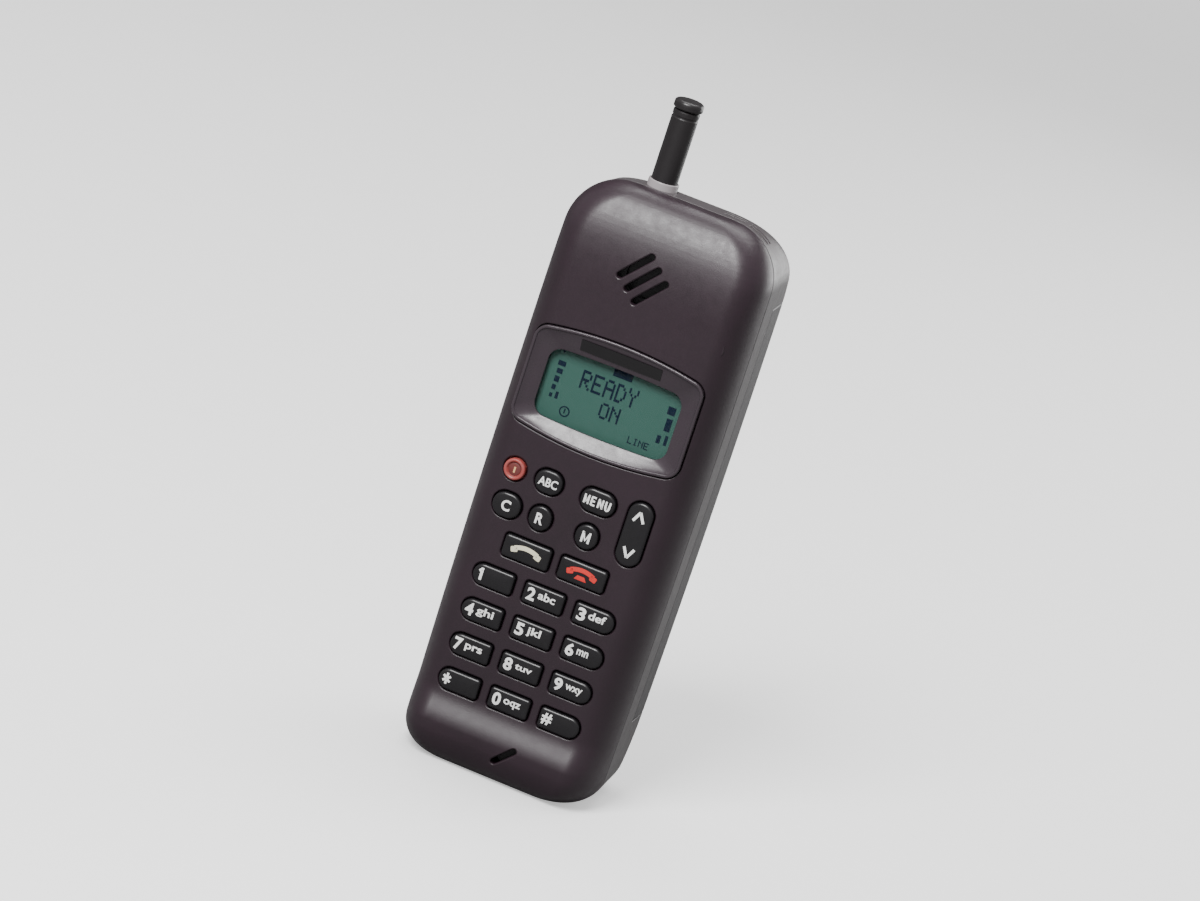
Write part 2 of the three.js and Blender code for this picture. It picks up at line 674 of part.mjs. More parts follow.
const capsuleY = gasketY + gasket.thickness + touchGap;
place('earpiece_gasket', ringGeometry(earpieceOffset, earpieceHeight, earpieceRadius, gasket.bore,
  gasketY, gasketY + gasket.thickness), rubber);
place('earpiece_capsule', rodY(earpieceRadius, earpieceOffset, earpieceHeight,
  capsuleY, capsuleY + capsuleDepth, 28), steel);
const micY = chinY + microphone.front;
place('microphone', rodY(microphone.radius, micOffset, micHeight, micY, micY + microphone.depth, 20), steel);
const ringerY = seamY + 2.5;
place('buzzer', rodY(ringer.radius, ringer.x, ringer.z, ringerY, ringerY + ringer.depth, 24), innerBlack);

const { half: plugHalf, rim, sideRim } = connector;
const plugBack = connectorY + connector.depth;
const socket = box(-plugHalf + rim, plugHalf - rim, connectorY + sideRim, plugBack - sideRim, -1, connector.socket);
place('system_connector', box(-plugHalf, plugHalf, connectorY, plugBack, touchGap, connector.height)
  .subtract(socket), innerBlack);
place('contact_block', box(-packContact.half, packContact.half, onBoardY, bayY - touchGap / 3,
  packContact.low, packContact.high), innerBlack);

const springX = antennaX + antennaRadius + touchGap;
const springWall = antennaY + antennaSpring.sheet;
const springTop = antennaRoot + antennaSpring.reach;
const springFoot = box(springX, springX + antennaSpring.width, onBoardY, springWall,
  antennaSpring.foot, antennaSpring.foot + antennaSpring.sheet);
const springBlade = box(springX, springX + antennaSpring.width, antennaY, springWall, antennaSpring.foot, springTop);
place('antenna_contact', springFoot.add(springBlade), brassLike);

const bushInner = antennaRadius + bushRun;
const bushOuter = bushInner + bushWall;
const bushTop = bodyLength + bushProud;
place('antenna_bush', turned([
  [bushInner, bushTop - bushLength], [bushOuter, bushTop - bushLength],
  [bushOuter, bushTop], [bushInner, bushTop], [bushInner, bushTop - bushLength],
], antennaX, antennaY), greyPlastic);
const tubeTop = antennaTop - capHeight - touchGap;
place('antenna_tube', turned([
  [antennaBore, antennaRoot], [antennaRadius, antennaRoot],
  [antennaRadius, tubeTop], [antennaBore, tubeTop], [antennaBore, antennaRoot],
], antennaX, antennaY), keyBlack);
const capBottom = antennaTop - capHeight;
const stem = antennaBore - touchGap;
place('antenna_cap', turned([
  [0, capBottom - capStem], [stem, capBottom - capStem], [stem, capBottom], [capRadius - 0.4, capBottom],
  [capRadius, capBottom + 0.5], [capRadius, antennaTop - 0.8], [capRadius - 0.8, antennaTop], [0, antennaTop],
], antennaX, antennaY), keyBlack);
const coilTop = capBottom - capStem - touchGap;
place('antenna_coil', turned([
  [0, antennaRoot + 1], [stem, antennaRoot + 1], [stem, coilTop], [0, coilTop],
], antennaX, antennaY, 12), brassLike);

place('battery_shell', packShellSolid(), greyPlastic);
place('battery_cover', coverPlateSolid(), greyPlastic);
const cellY = packFront + touchGap + coverPlateThickness + touchGap + cellRadius;
for (let i = 0; i < 6; i += 1) {
  const low = cellBase + (i < 3 ? 0 : cellLength + touchGap);
  const top = low + cellLength;
  const profile = [[0, low], [cellRadius, low], [cellRadius, top - 1], [2.7, top - 1], [2.7, top], [0, top]];
  place(`battery_cell_${i + 1}`, turned(profile, ((i % 3) - 1) * cellPitch, cellY, 20), cellWrap);
}
place('battery_latch', latchSolid(), keyBlack);
place('latch_spring', springGeometry(), steel);

for (const key of keys) place(key.name, keySolid(key), key.name === 'key_power' ? ringRed : keyBlack);

screws.forEach(({ x, z }, i) => {
  const shank = rodY(screwShank, x, z, headSeatY + touchGap - screwLength, headSeatY + touchGap + 0.2, 12);
  const head = rodY(screwHead, x, z, headSeatY + touchGap, headSeatY + touchGap + screwHeadHeight - touchGap, 16);
  place(`housing_screw_${i + 1}`, shank.add(head), steel);
});

export default phone;
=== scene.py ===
"""Looks of an early mobile brick phone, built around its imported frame. Lengths are in metres."""

import math

import bmesh
import bpy
from bpy.props import FloatProperty, FloatVectorProperty, PointerProperty
from mathutils import Matrix, Vector
from mathutils.bvhtree import BVHTree


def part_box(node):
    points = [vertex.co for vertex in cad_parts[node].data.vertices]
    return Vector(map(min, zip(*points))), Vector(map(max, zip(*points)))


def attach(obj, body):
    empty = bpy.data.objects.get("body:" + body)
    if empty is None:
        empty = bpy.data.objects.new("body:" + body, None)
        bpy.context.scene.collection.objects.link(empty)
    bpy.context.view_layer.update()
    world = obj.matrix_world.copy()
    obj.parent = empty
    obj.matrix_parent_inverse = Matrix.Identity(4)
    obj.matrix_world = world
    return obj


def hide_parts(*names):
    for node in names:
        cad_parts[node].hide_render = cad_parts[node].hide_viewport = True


bl_info = {
    "name": "Early Mobile Phone",
    "version": (1, 0, 0),
    "blender": (4, 5, 0),
    "location": "View3D > Sidebar > Phone",
    "description": "Builds the visible pieces of an early mobile phone around its packed frame",
    "category": "Object",
}

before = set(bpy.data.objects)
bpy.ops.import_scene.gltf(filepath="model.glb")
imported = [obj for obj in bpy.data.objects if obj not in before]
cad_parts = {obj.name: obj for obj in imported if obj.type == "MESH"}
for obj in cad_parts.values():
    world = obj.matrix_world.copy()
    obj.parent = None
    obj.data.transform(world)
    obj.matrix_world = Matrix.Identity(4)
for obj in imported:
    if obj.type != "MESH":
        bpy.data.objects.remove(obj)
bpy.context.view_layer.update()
MM = 0.001
FAR = 100 * MM
TINY = 0.01 * MM
GAP = 0.3 * MM
BACK_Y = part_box("battery_shell")[1].y
CHIN_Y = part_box("front_cover")[0].y
FRONT_BACK_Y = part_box("front_cover")[1].y
REAR_FRONT_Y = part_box("rear_cover")[0].y
SEAM_Y = (FRONT_BACK_Y + REAR_FRONT_Y) / 2
BODY_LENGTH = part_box("front_cover")[1].z
BODY_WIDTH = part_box("front_cover")[1].x * 2


def length(label, text, default):
    """A length in metres that a user may change."""
    return FloatProperty(name=label, description=text, default=default, unit="LENGTH", precision=5)


def colour(label, text, default):
    """A colour that a user may change."""
    return FloatVectorProperty(name=label, description=text, default=default, size=3, subtype="COLOR",
                               min=0, max=1)


class PhoneShape(bpy.types.PropertyGroup):
    """Sizes of the two covers and the keys."""
    wall: length("Wall", "Thickness of the covers", 2 * MM)
    bay_wall: length("Bay wall", "Thickness of the battery bay's walls", 1.4 * MM)
    pack_wall: length("Pack wall", "Thickness of the battery shell", 1.6 * MM)
    chin_rise: length("Chin rise", "How far the chin stands forward of the key face", 3 * MM)
    chin_height: length("Chin height", "Height of the chin's most forward line", 10 * MM)
    chin_depth: length("Chin depth", "How far the chin rounds back to the foot", 7 * MM)
    ramp_top: length("Ramp top", "Height where the chin's ramp meets the key face", 20 * MM)
    crown_length: length("Crown length", "Length over which the face rounds back at the top", 26 * MM)
    crown_depth: length("Crown depth", "How far the face rounds back at the top", 11 * MM)
    heel_height: length("Heel height", "Height over which the back rounds in to the foot", 23 * MM)
    heel_depth: length("Heel depth", "How far the back rounds in at the foot", 14 * MM)
    shoulder_height: length("Shoulder height", "Height over which the back rounds in at the top", 22 * MM)
    shoulder_depth: length("Shoulder depth", "How far the back rounds in at the top", 24.5 * MM)
    widest_height: length("Widest height", "Height where the phone is widest", 107 * MM)
    foot_narrowing: length("Foot narrowing", "How much each side draws in at the foot", 1.2 * MM)
    top_corner: length("Top corner", "Radius of the upper corners", 15 * MM)
    foot_corner: length("Foot corner", "Radius of the lower corners", 8.5 * MM)
    flank_width: length("Flank width", "Width of the rounded flank beside the key face", 8.5 * MM)
    rear_corner: length("Rear corner", "Radius of the long edges at the back", 8 * MM)
    side_draft: length("Side draft", "How much each side draws in towards the back", 1 * MM)
    key_gap: length("Key gap", "Clearance round each key", 0.3 * MM)
    edge_round: length("Edge round", "Rounding of the moulded edges", 0.35 * MM)


class PhoneFinish(bpy.types.PropertyGroup):
    """Colours of the phone's materials."""
    front: colour("Front", "Front cover plastic", (0.0185, 0.0095, 0.0148))
    # The rear colour is lighter than the front's partly as painted reflection: it stands in for the glancing
    # light on the side band over a dark back.
    rear: colour("Rear", "Rear cover plastic, partly painted reflection", (0.065, 0.056, 0.060))
    # The pack colour is lighter than the front's partly as painted reflection of the glancing light on the
    # side band.
    pack: colour("Battery pack", "Battery pack plastic, partly painted reflection", (0.032, 0.027, 0.030))
    keys: colour("Keys", "Key rubber", (0.0065, 0.0055, 0.0068))
    legend: colour("Legends", "White key legends", (0.86, 0.86, 0.84))
    send: colour("Send mark", "Mark on the send key", (0.74, 0.70, 0.52))
    end: colour("End mark", "Mark on the end key", (0.62, 0.035, 0.028))
    power: colour("Power ring", "Ring on the power key", (0.33, 0.062, 0.055))
    lcd: colour("LCD", "Ground of the LCD", (0.040, 0.132, 0.104))
    ink: colour("LCD ink", "Dark segments of the LCD", (0.002, 0.010, 0.032))
    antenna: colour("Antenna", "Antenna plastic", (0.012, 0.010, 0.011))


class PhoneStage(bpy.types.PropertyGroup):
    """Where the camera stands."""
    azimuth: FloatProperty(name="Azimuth", description="Camera's turn to the right of the key face",
                           default=math.radians(13), subtype="ANGLE")
    elevation: FloatProperty(name="Elevation", description="Camera's height angle",
                             default=math.radians(14.9), subtype="ANGLE")
    roll: FloatProperty(name="Roll", description="How far the phone leans to the right in the picture",
                        default=math.radians(18.3), subtype="ANGLE")
    distance: length("Distance", "Camera distance", 1.6)
    view_width: length("View width", "Width that the picture shows at the phone", 0.3133)
    aim: FloatVectorProperty(name="Aim", description="Point in the middle of the picture",
                             default=(1.9 * MM, -19.5 * MM, 96 * MM), size=3, subtype="TRANSLATION")


# ------------------------------------------------------------------ the body's form
def quarter(centre, reach, share):
    """A quarter ellipse's offset from centre at a share of its other half-axis."""
    return centre + reach * math.sqrt(max(0.0, 1 - share * share))


def bends(steps, first=1):
    """The sine, and one less the cosine, at even steps through a quarter turn."""
    angles = [math.pi / 2 * i / steps for i in range(first, steps + 1)]
    return [(math.sin(angle), 1 - math.cos(angle)) for angle in angles]


class BodyForm:
    """The outer form that both covers and the battery pack are cut from."""

    def __init__(self, shape):
        self.s = shape
        self.face_y = CHIN_Y + shape.chin_rise

    def front_at(self, z):
        s = self.s
        if z < s.chin_height:
            return quarter(CHIN_Y + s.chin_depth, -s.chin_depth, (s.chin_height - z) / s.chin_height)
        if z < s.ramp_top:
            share = (z - s.chin_height) / (s.ramp_top - s.chin_height)
            return CHIN_Y + s.chin_rise * share * share * (3 - 2 * share)
        start = BODY_LENGTH - s.crown_length
        if z > start:
            return quarter(self.face_y + s.crown_depth, -s.crown_depth, (z - start) / s.crown_length)
        return self.face_y

    def back_at(self, z):
        s = self.s
        if z < s.heel_height:
            return quarter(BACK_Y - s.heel_depth, s.heel_depth, (s.heel_height - z) / s.heel_height)
        start = BODY_LENGTH - s.shoulder_height
        if z > start:
            return quarter(BACK_Y - s.shoulder_depth, s.shoulder_depth, (z - start) / s.shoulder_height)
        return BACK_Y

    def half_at(self, z):
        s = self.s
        bow = s.foot_narrowing * ((z - s.widest_height) / s.widest_height) ** 2
        corner = 0.0
        start = BODY_LENGTH - s.top_corner
        if z < s.foot_corner:
            corner = s.foot_corner - quarter(0, s.foot_corner, (s.foot_corner - z) / s.foot_corner)
        elif z > start:
            corner = s.top_corner - quarter(0, s.top_corner, (z - start) / s.top_corner)
        return BODY_WIDTH / 2 - bow - corner

    def outer_z(self, z, inset):
        return (z - inset) / (BODY_LENGTH - 2 * inset) * BODY_LENGTH

    def front_loop(self, z, inset=0.0, back_y=None, rim=0.0, steps=14):
        """The front cover's level outline: rim, flank, face, flank, rim."""
        back_y = FRONT_BACK_Y if back_y is None else back_y
        oz = self.outer_z(z, inset)
        half = self.half_at(oz) - inset
        depth = SEAM_Y - (self.front_at(oz) + inset)
        flank = self.s.flank_width
        right = []
        first = math.asin(min(0.9, max(0.0, SEAM_Y - back_y + rim) / depth))
        for i in range(steps + 1):
            angle = first + (math.pi / 2 - first) * i / steps
            right.append((half - flank + flank * math.cos(angle), SEAM_Y - depth * math.sin(angle)))
        x0 = right[0][0]
        if rim:
            right = [(x0 - rim, back_y), (x0 - 0.3 * rim, back_y - 0.3 * rim)] + right
        else:
            right = [(x0, back_y)] + right
        inner = half - flank
        face = [(inner * (1 - i / 4), SEAM_Y - depth) for i in range(1, 8)]
        left = [(-x, y) for x, y in reversed(right)]
        return [Vector((x, y, z)) for x, y in right + face + left]

    def rear_loop(self, z, inset=0.0, front_y=None, rim=0.0, steps=10):
        """The rear cover's or the pack's level outline: rim, side, corner, back, and the same again."""
        front_y = REAR_FRONT_Y if front_y is None else front_y
        oz = self.outer_z(z, inset)
        half = self.half_at(oz) - inset
        back = self.back_at(oz) - inset
        corner = max(0.5 * MM, self.s.rear_corner - inset)
        corner_y = min(corner, 0.8 * (back - SEAM_Y))
        side_x = half - self.s.side_draft
        side_y = back - corner_y

        def side_at(y):
            return half - self.s.side_draft * max(0.0, min(1.0, (y - SEAM_Y) / max(1e-6, side_y - SEAM_Y)))

        right = []
        start = front_y + rim
        if rim:
            x0 = side_at(start)
            right = [(x0 - rim, front_y), (x0 - 0.3 * rim, front_y + 0.3 * rim)]
        for i in range(5):
            y = start + (max(start, side_y) - start) * i / 5
            right.append((side_at(y), y))
        for i in range(steps + 1):
            angle = math.pi / 2 * i / steps
            y = side_y + corner_y * math.sin(angle)
            right.append((side_x - corner + corner * math.cos(angle), max(y, start + i * 1e-6)))
        left = [(-x, y) for x, y in reversed(right)]
        return [Vector((x, y, z)) for x, y in right + left]

    def heights(self, low=0.0, high=None, inset=0.0, fine=14):
        """Heights of the level outlines, close together where the ends round over."""
        high = BODY_LENGTH if high is None else high
        s = self.s
        rows = [s.foot_corner * (1 - math.cos(math.pi / 2 * i / fine)) for i in range(fine + 1)]
        rows += [s.chin_height + (s.ramp_top - s.chin_height) * i / fine for i in range(1, fine + 1)]
        straight = BODY_LENGTH - s.crown_length - s.ramp_top
        rows += [s.ramp_top + straight * i / 24 for i in range(1, 25)]
        start = BODY_LENGTH - s.crown_length
        crown = 2.4 * fine
        rows += [start + s.crown_length * math.sin(math.pi / 2 * i / crown) for i in range(int(crown))]
        start = BODY_LENGTH - s.top_corner
        rows += [start + s.top_corner * math.sin(math.pi / 2 * i / fine) for i in range(1, fine + 1)]
        scale = (BODY_LENGTH - 2 * inset) / BODY_LENGTH
        rows = sorted(inset + z * scale for z in rows)
        rows = [z for z in rows if low + 0.1 * MM < z < high - 0.1 * MM]
        kept = [low]
        for z in rows:
            if z - kept[-1] > 0.12 * MM:
                kept.append(z)
        return kept + [high]


# ------------------------------------------------------------------ mesh helpers
def new_object(name, mesh):
    obj = bpy.data.objects.new(name, mesh)
    bpy.context.scene.collection.objects.link(obj)
    return obj


def from_bmesh(name, bm):
    """A new object that holds bm's mesh."""
    mesh = bpy.data.meshes.new(name)
    bm.to_mesh(mesh)
    bm.free()
    return new_object(name, mesh)


def middle(node):
    """The middle of a CAD node's box."""
    low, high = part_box(node)
    return (low + high) / 2


def loft(name, loops, closed=False):
    """A closed mesh through loops of equal length. closed joins the last loop to the first."""
    bm = bmesh.new()
    rows = [[bm.verts.new(point) for point in loop] for loop in loops]
    count = len(rows[0])
    pairs = list(zip(rows, rows[1:]))
    if closed:
        pairs.append((rows[-1], rows[0]))
    for low, high in pairs:
        for i in range(count):
            j = (i + 1) % count
            bm.faces.new((low[i], low[j], high[j], high[i]))
    if not closed:
        bm.faces.new(rows[0])
        bm.faces.new(list(reversed(rows[-1])))
    bmesh.ops.remove_doubles(bm, verts=bm.verts, dist=1e-7)
    bmesh.ops.recalc_face_normals(bm, faces=bm.faces)
    return from_bmesh(name, bm)


def smooth(obj, angle=32):
    """Smooth shading with sharp edges above an angle."""
    obj.data.shade_smooth()
    obj.data.set_sharp_from_angle(angle=math.radians(angle))
    weighted = obj.modifiers.new("Weighted normals", "WEIGHTED_NORMAL")
    weighted.keep_sharp = True
    weighted.weight = 80
    bake_modifiers(obj)


def bake_modifiers(obj):
    """Replaces obj's mesh by its evaluated one and clears its modifiers."""
    bpy.context.view_layer.update()
    graph = bpy.context.evaluated_depsgraph_get()
    mesh = bpy.data.meshes.new_from_object(obj.evaluated_get(graph), depsgraph=graph)
    old = obj.data
    obj.modifiers.clear()
    obj.data = mesh
    bpy.data.meshes.remove(old)


def remove(obj):
    mesh = obj.data
    bpy.data.objects.remove(obj)
    bpy.data.meshes.remove(mesh)


def combine(target, others, operation):
    """Cuts others out of target, joins them to it, or keeps what they share, and removes them."""
    for other in others:
        modifier = target.modifiers.new(operation.lower(), "BOOLEAN")
        modifier.operation = operation
        modifier.solver = "MANIFOLD"
        modifier.object = other
    bake_modifiers(target)
    for other in others:
        remove(other)
    return target


def volume_of(mesh):
    bm = bmesh.new()
    bm.from_mesh(mesh)
    volume = bm.calc_volume()
    bm.free()
    return volume


def cut(target, cutter, attempts=6, nudge=0.004 * MM):
    """Cuts cutter out of target. A cut that leaves too much or too little is made again, slightly moved."""
    before = volume_of(target.data)
    most = volume_of(cutter.data)
    graph = bpy.context.evaluated_depsgraph_get()
    for attempt in range(attempts):
        cutter.location = Vector((attempt, 0, -attempt)) * nudge
        modifier = target.modifiers.new("cut", "BOOLEAN")
        modifier.operation = "DIFFERENCE"
        modifier.solver = "MANIFOLD"
        modifier.object = cutter
        bpy.context.view_layer.update()
        mesh = bpy.data.meshes.new_from_object(target.evaluated_get(graph), depsgraph=graph)
        target.modifiers.clear()
        taken = before - volume_of(mesh)
        if 0 < taken < most:
            target.data = mesh
            remove(cutter)
            return
        bpy.data.meshes.remove(mesh)
    raise RuntimeError(f"{target.name}: a cut failed")


def joined(name, objects):
    """One object that holds the meshes of several."""
    bm = bmesh.new()
    for obj in objects:
        bm.from_mesh(obj.data)
        remove(obj)
    return from_bmesh(name, bm)


def block(name, low, high, round_by=0.0):
    """A box between two corners, with its edges rounded."""
    bm = bmesh.new()
    bmesh.ops.create_cube(bm, size=1)
    low, high = Vector(low), Vector(high)
    for vert in bm.verts:
        vert.co = Vector(low[i] + (vert.co[i] + 0.5) * (high[i] - low[i]) for i in range(3))
    if round_by:
        bmesh.ops.bevel(bm, geom=bm.edges[:], offset=round_by, segments=3, profile=0.5, affect="EDGES")
    return from_bmesh(name, bm)


def turned(name, profile, centre, axis=2, sides=96):
    """A piece turned about an axis through centre. The profile lists (radius, place on the axis)."""
    loops = []
    for i in range(sides):
        angle = 2 * math.pi * i / sides
        around = [math.cos(angle), math.sin(angle)]
        around.insert(axis, 0)
        loop = []
        for radius, along in profile:
            hub = list(centre)
            hub.insert(axis, along)
            loop.append(Vector(hub) + Vector(around) * radius)
        loops.append(loop)
    return loft(name, loops, closed=True)


def turned_y(name, profile, x, z, sides=48):
    """A piece turned about an axis along Y."""
    return turned(name, profile, (x, z), 1, sides)


def step_profile(*corners):
    """A closed profile that starts and ends on the axis."""
    return [(0, corners[0][1])] + list(corners) + [(0, corners[-1][1])]


def rounded_outline(x, z, width, height, radii, steps=8):
    """A rounded rectangle in X and Z; radii run low left, low right, high right, high left."""
    points = []
    corners = ((-1, -1, 180), (1, -1, 270), (1, 1, 0), (-1, 1, 90))
    for (sx, sz, start), radius in zip(corners, radii):
        radius = max(radius, 0.01 * MM)
        for i in range(steps + 1):
            angle = math.radians(start + 90 * i / steps)
            px = x + sx * (width / 2 - radius) + radius * math.cos(angle)
            pz = z + sz * (height / 2 - radius) + radius * math.sin(angle)
            points.append((px, pz))
    return points


def at_depth(points, y):
    return [Vector((x, y, z)) for x, z in points]


def slot_outline(x, z, long, wide, angle, grow=0.0, steps=8):
    """A slanted slot with round ends."""
    radius = wide / 2 + grow
    turn = math.radians(angle)
    points = []
    for end in (0, 1):
        for i in range(steps + 1):
            a = math.radians(-90 + 180 * end + 180 * i / steps)
            px = (1 - 2 * end) * (long - wide) / 2 + radius * math.cos(a)
            pz = radius * math.sin(a)
            points.append((x + px * math.cos(turn) - pz * math.sin(turn),
                           z + px * math.sin(turn) + pz * math.cos(turn)))
    return points


def place(obj, body, slot, material, *replaced):
    """Finishes a piece: its material, its body and the CAD nodes it stands for; slot is not used."""
    obj.data.materials.clear()
    obj.data.materials.append(material)
    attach(obj, body)
    if replaced:
        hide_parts(*replaced)
    return obj


# ------------------------------------------------------------------ shader node groups
class Nodes:
    """Short ways to add and link nodes in one tree."""

    def __init__(self, tree):
        self.tree = tree

    def add(self, kind, **values):
        node = self.tree.nodes.new(kind)
        for name, value in values.items():
            setattr(node, name, value)
        return node

    def link(self, source, target):
        self.tree.links.new(source, target)

    def feed(self, socket, value):
        """Sets a socket to a number, or links it to an output."""
        if isinstance(value, (int, float)):
            socket.default_value = value
        else:
            self.link(value, socket)

    def math(self, operation, first, second, clamp=False):
        node = self.add("ShaderNodeMath", operation=operation, use_clamp=clamp)
        for socket, value in zip(node.inputs, (first, second)):
            self.feed(socket, value)
        return node.outputs[0]

    def noise(self, vector, scale, detail, roughness):
        node = self.add("ShaderNodeTexNoise")
        values = {"Scale": scale, "Detail": detail, "Roughness": roughness, "Vector": vector}
        for name, value in values.items():
            self.feed(node.inputs[name], value)
        return node.outputs["Fac"]

    def spread(self, value, low, high, out_low=0.0, out_high=1.0):
        node = self.add("ShaderNodeMapRange")
        for socket, number in zip(node.inputs, (value, low, high, out_low, out_high)):
            self.feed(socket, number)
        return node.outputs["Result"]

    def mix(self, factor, first, second):
        node = self.add("ShaderNodeMix", data_type="RGBA")
        for index, value in ((0, factor), (6, first), (7, second)):
            self.link(value, node.inputs[index])
        return node.outputs[2]

    def bump(self, height, strength, distance):
        """A bump node. strength is a number or an output."""
        node = self.add("ShaderNodeBump")
        node.inputs["Distance"].default_value = distance
        self.feed(node.inputs["Strength"], strength)
        self.link(height, node.inputs["Height"])
        return node


def new_group(name, **inputs):
    """A shader node group with these inputs, and outputs for colour, roughness and normal."""
    tree = bpy.data.node_groups.new(name, "ShaderNodeTree")
    for label, default in inputs.items():
        kind = "NodeSocketColor" if isinstance(default, tuple) else "NodeSocketFloat"
        tree.interface.new_socket(label, in_out="INPUT", socket_type=kind).default_value = default
    for label, kind in (("Color", "Color"), ("Roughness", "Float"), ("Normal", "Vector")):
        tree.interface.new_socket(label, in_out="OUTPUT", socket_type="NodeSocket" + kind)
    nodes = Nodes(tree)
    inside = nodes.add("ShaderNodeTexCoord").outputs["Object"]
    return tree, nodes, inside, nodes.add("NodeGroupInput").outputs, nodes.add("NodeGroupOutput").inputs


def moulded_group():
    """Moulded plastic: fine grain, uneven colour, rubbed edges and uneven polish."""
    tree, n, place_in, start, end = new_group(
        "moulded_plastic", Color=(0.05, 0.05, 0.05, 1), Rubbed=(0.2, 0.2, 0.2, 1), Grain=0.3, Polish=0.4,
        Wear=0.5, Edge=0.25)
    geometry = n.add("ShaderNodeNewGeometry")
    fine = n.noise(place_in, 5200, 2, 0.6)
    broad = n.noise(place_in, 38, 3, 0.5)
    blotch = n.noise(place_in, 420, 4, 0.6)

    bevel = n.add("ShaderNodeBevel", samples=6)
    n.link(n.math("MULTIPLY", start["Edge"], MM), bevel.inputs["Radius"])
    dot = n.add("ShaderNodeVectorMath", operation="DOT_PRODUCT")
    n.link(bevel.outputs["Normal"], dot.inputs[0])
    n.link(geometry.outputs["Normal"], dot.inputs[1])
    edge = n.spread(n.math("SUBTRACT", 1.0, dot.outputs["Value"]), 0.01, 0.22)
    patchy = n.spread(blotch, 0.42, 0.66)
    rubbed = n.math("MULTIPLY", n.math("MULTIPLY", edge, patchy), start["Wear"], clamp=True)

    varied = n.add("ShaderNodeHueSaturation")
    n.link(start["Color"], varied.inputs["Color"])
    n.link(n.spread(broad, 0.3, 0.7, 0.86, 1.14), varied.inputs["Value"])
    n.link(n.spread(blotch, 0.3, 0.7, 0.9, 1.1), varied.inputs["Saturation"])
    speckled = n.mix(n.spread(fine, 0.62, 0.8, 0.0, 0.16), varied.outputs["Color"], start["Rubbed"])
    n.link(n.mix(rubbed, speckled, start["Rubbed"]), end["Color"])

    uneven = n.spread(blotch, 0.3, 0.7, -0.05, 0.05)
    polish = n.math("ADD", start["Polish"], uneven)
    grainy = n.math("ADD", polish, n.spread(fine, 0.3, 0.7, -0.04, 0.04))
    n.link(n.math("SUBTRACT", grainy, n.math("MULTIPLY", rubbed, 0.12), clamp=True), end["Roughness"])

    bump = n.bump(fine, start["Grain"], 0.05 * MM)
    n.link(bevel.outputs["Normal"], bump.inputs["Normal"])
    n.link(bump.outputs["Normal"], end["Normal"])
    return tree


def brushed_group():
    """Drawn or plated metal: fine lines along one axis, tarnish and scuffs."""
    tree, n, place_in, start, end = new_group("drawn_metal", Color=(0.6, 0.6, 0.6, 1),
                                              Tarnish=(0.2, 0.16, 0.1, 1), Polish=0.3, Lines=0.2)
    stretch = n.add("ShaderNodeMapping")
    stretch.inputs["Scale"].default_value = (1, 1, 0.04)
    n.link(place_in, stretch.inputs["Vector"])
    lines = n.noise(stretch.outputs["Vector"], 9000, 2, 0.6)
    blotch = n.noise(place_in, 300, 4, 0.6)
    tarnish = n.spread(blotch, 0.48, 0.75, 0.0, 0.6)
    n.link(n.mix(tarnish, start["Color"], start["Tarnish"]), end["Color"])
    worn = n.math("ADD", start["Polish"], n.math("MULTIPLY", tarnish, 0.3))
    n.link(n.math("ADD", worn, n.spread(lines, 0.3, 0.7, -0.05, 0.05), clamp=True), end["Roughness"])
    n.link(n.bump(lines, start["Lines"], 0.03 * MM).outputs["Normal"], end["Normal"])
    return tree


def printed_group():
    """Printed ink or glass: slight unevenness in colour and polish."""
    tree, n, place_in, start, end = new_group(
        "printed_ink", Color=(0.8, 0.8, 0.8, 1), Faded=(0.5, 0.5, 0.5, 1), Polish=0.4)
    fine = n.noise(place_in, 3000, 3, 0.6)
    broad = n.noise(place_in, 120, 2, 0.5)
    patches = n.spread(broad, 0.35, 0.75, 0.0, 0.2)
    faded = n.math("ADD", n.spread(fine, 0.5, 0.8, 0.0, 0.25), patches, clamp=True)
    n.link(n.mix(faded, start["Color"], start["Faded"]), end["Color"])
    n.link(n.math("ADD", start["Polish"], n.spread(broad, 0.3, 0.7, -0.04, 0.06), clamp=True),
           end["Roughness"])
    n.link(n.bump(fine, 0.12, 0.02 * MM).outputs["Normal"], end["Normal"])
    return tree


# ------------------------------------------------------------------ materials
GROUPS = {}
MATERIALS = {}


def material(name, group, inputs, **shader):
    """A Principled material whose colour, roughness and normal come from a node group."""
    if name in MATERIALS:
        return MATERIALS[name]
    if group not in GROUPS:
        GROUPS[group] = {"moulded": moulded_group, "metal": brushed_group, "printed": printed_group}[group]()
    made = bpy.data.materials.new(name + "_look")
    MATERIALS[name] = made
    made.use_nodes = True
    nodes = Nodes(made.node_tree)
    surface = made.node_tree.nodes["Principled BSDF"]
    look = nodes.add("ShaderNodeGroup", node_tree=GROUPS[group])
    for label, value in inputs.items():
        look.inputs[label].default_value = tuple(value) + (1,) if hasattr(value, "__len__") else value
    nodes.link(look.outputs["Color"], surface.inputs["Base Color"])
    nodes.link(look.outputs["Roughness"], surface.inputs["Roughness"])
    nodes.link(look.outputs["Normal"], surface.inputs["Normal"])
    for label, value in shader.items():
        surface.inputs[label.replace("_", " ")].default_value = value
    made.diffuse_color = surface.inputs["Base Color"].default_value
    return made


def lighter(value, factor, add=0.0):
    return tuple(min(1.0, channel * factor + add) for channel in value)


def moulded(name, base, polish, grain=0.3, wear=0.35, edge=0.25, **shader):
    """Moulded plastic of a colour."""
    inputs = {"Color": tuple(base), "Rubbed": lighter(base, 2.2, 0.03), "Grain": grain, "Polish": polish,
              "Wear": wear, "Edge": edge}
    return material(name, "moulded", inputs, **shader)


def metal(name, base, tarnish, polish, lines=0.2):
    """Plated or drawn metal."""
    return material(name, "metal", {"Color": base, "Tarnish": tarnish, "Polish": polish, "Lines": lines},
                    Metallic=1.0)


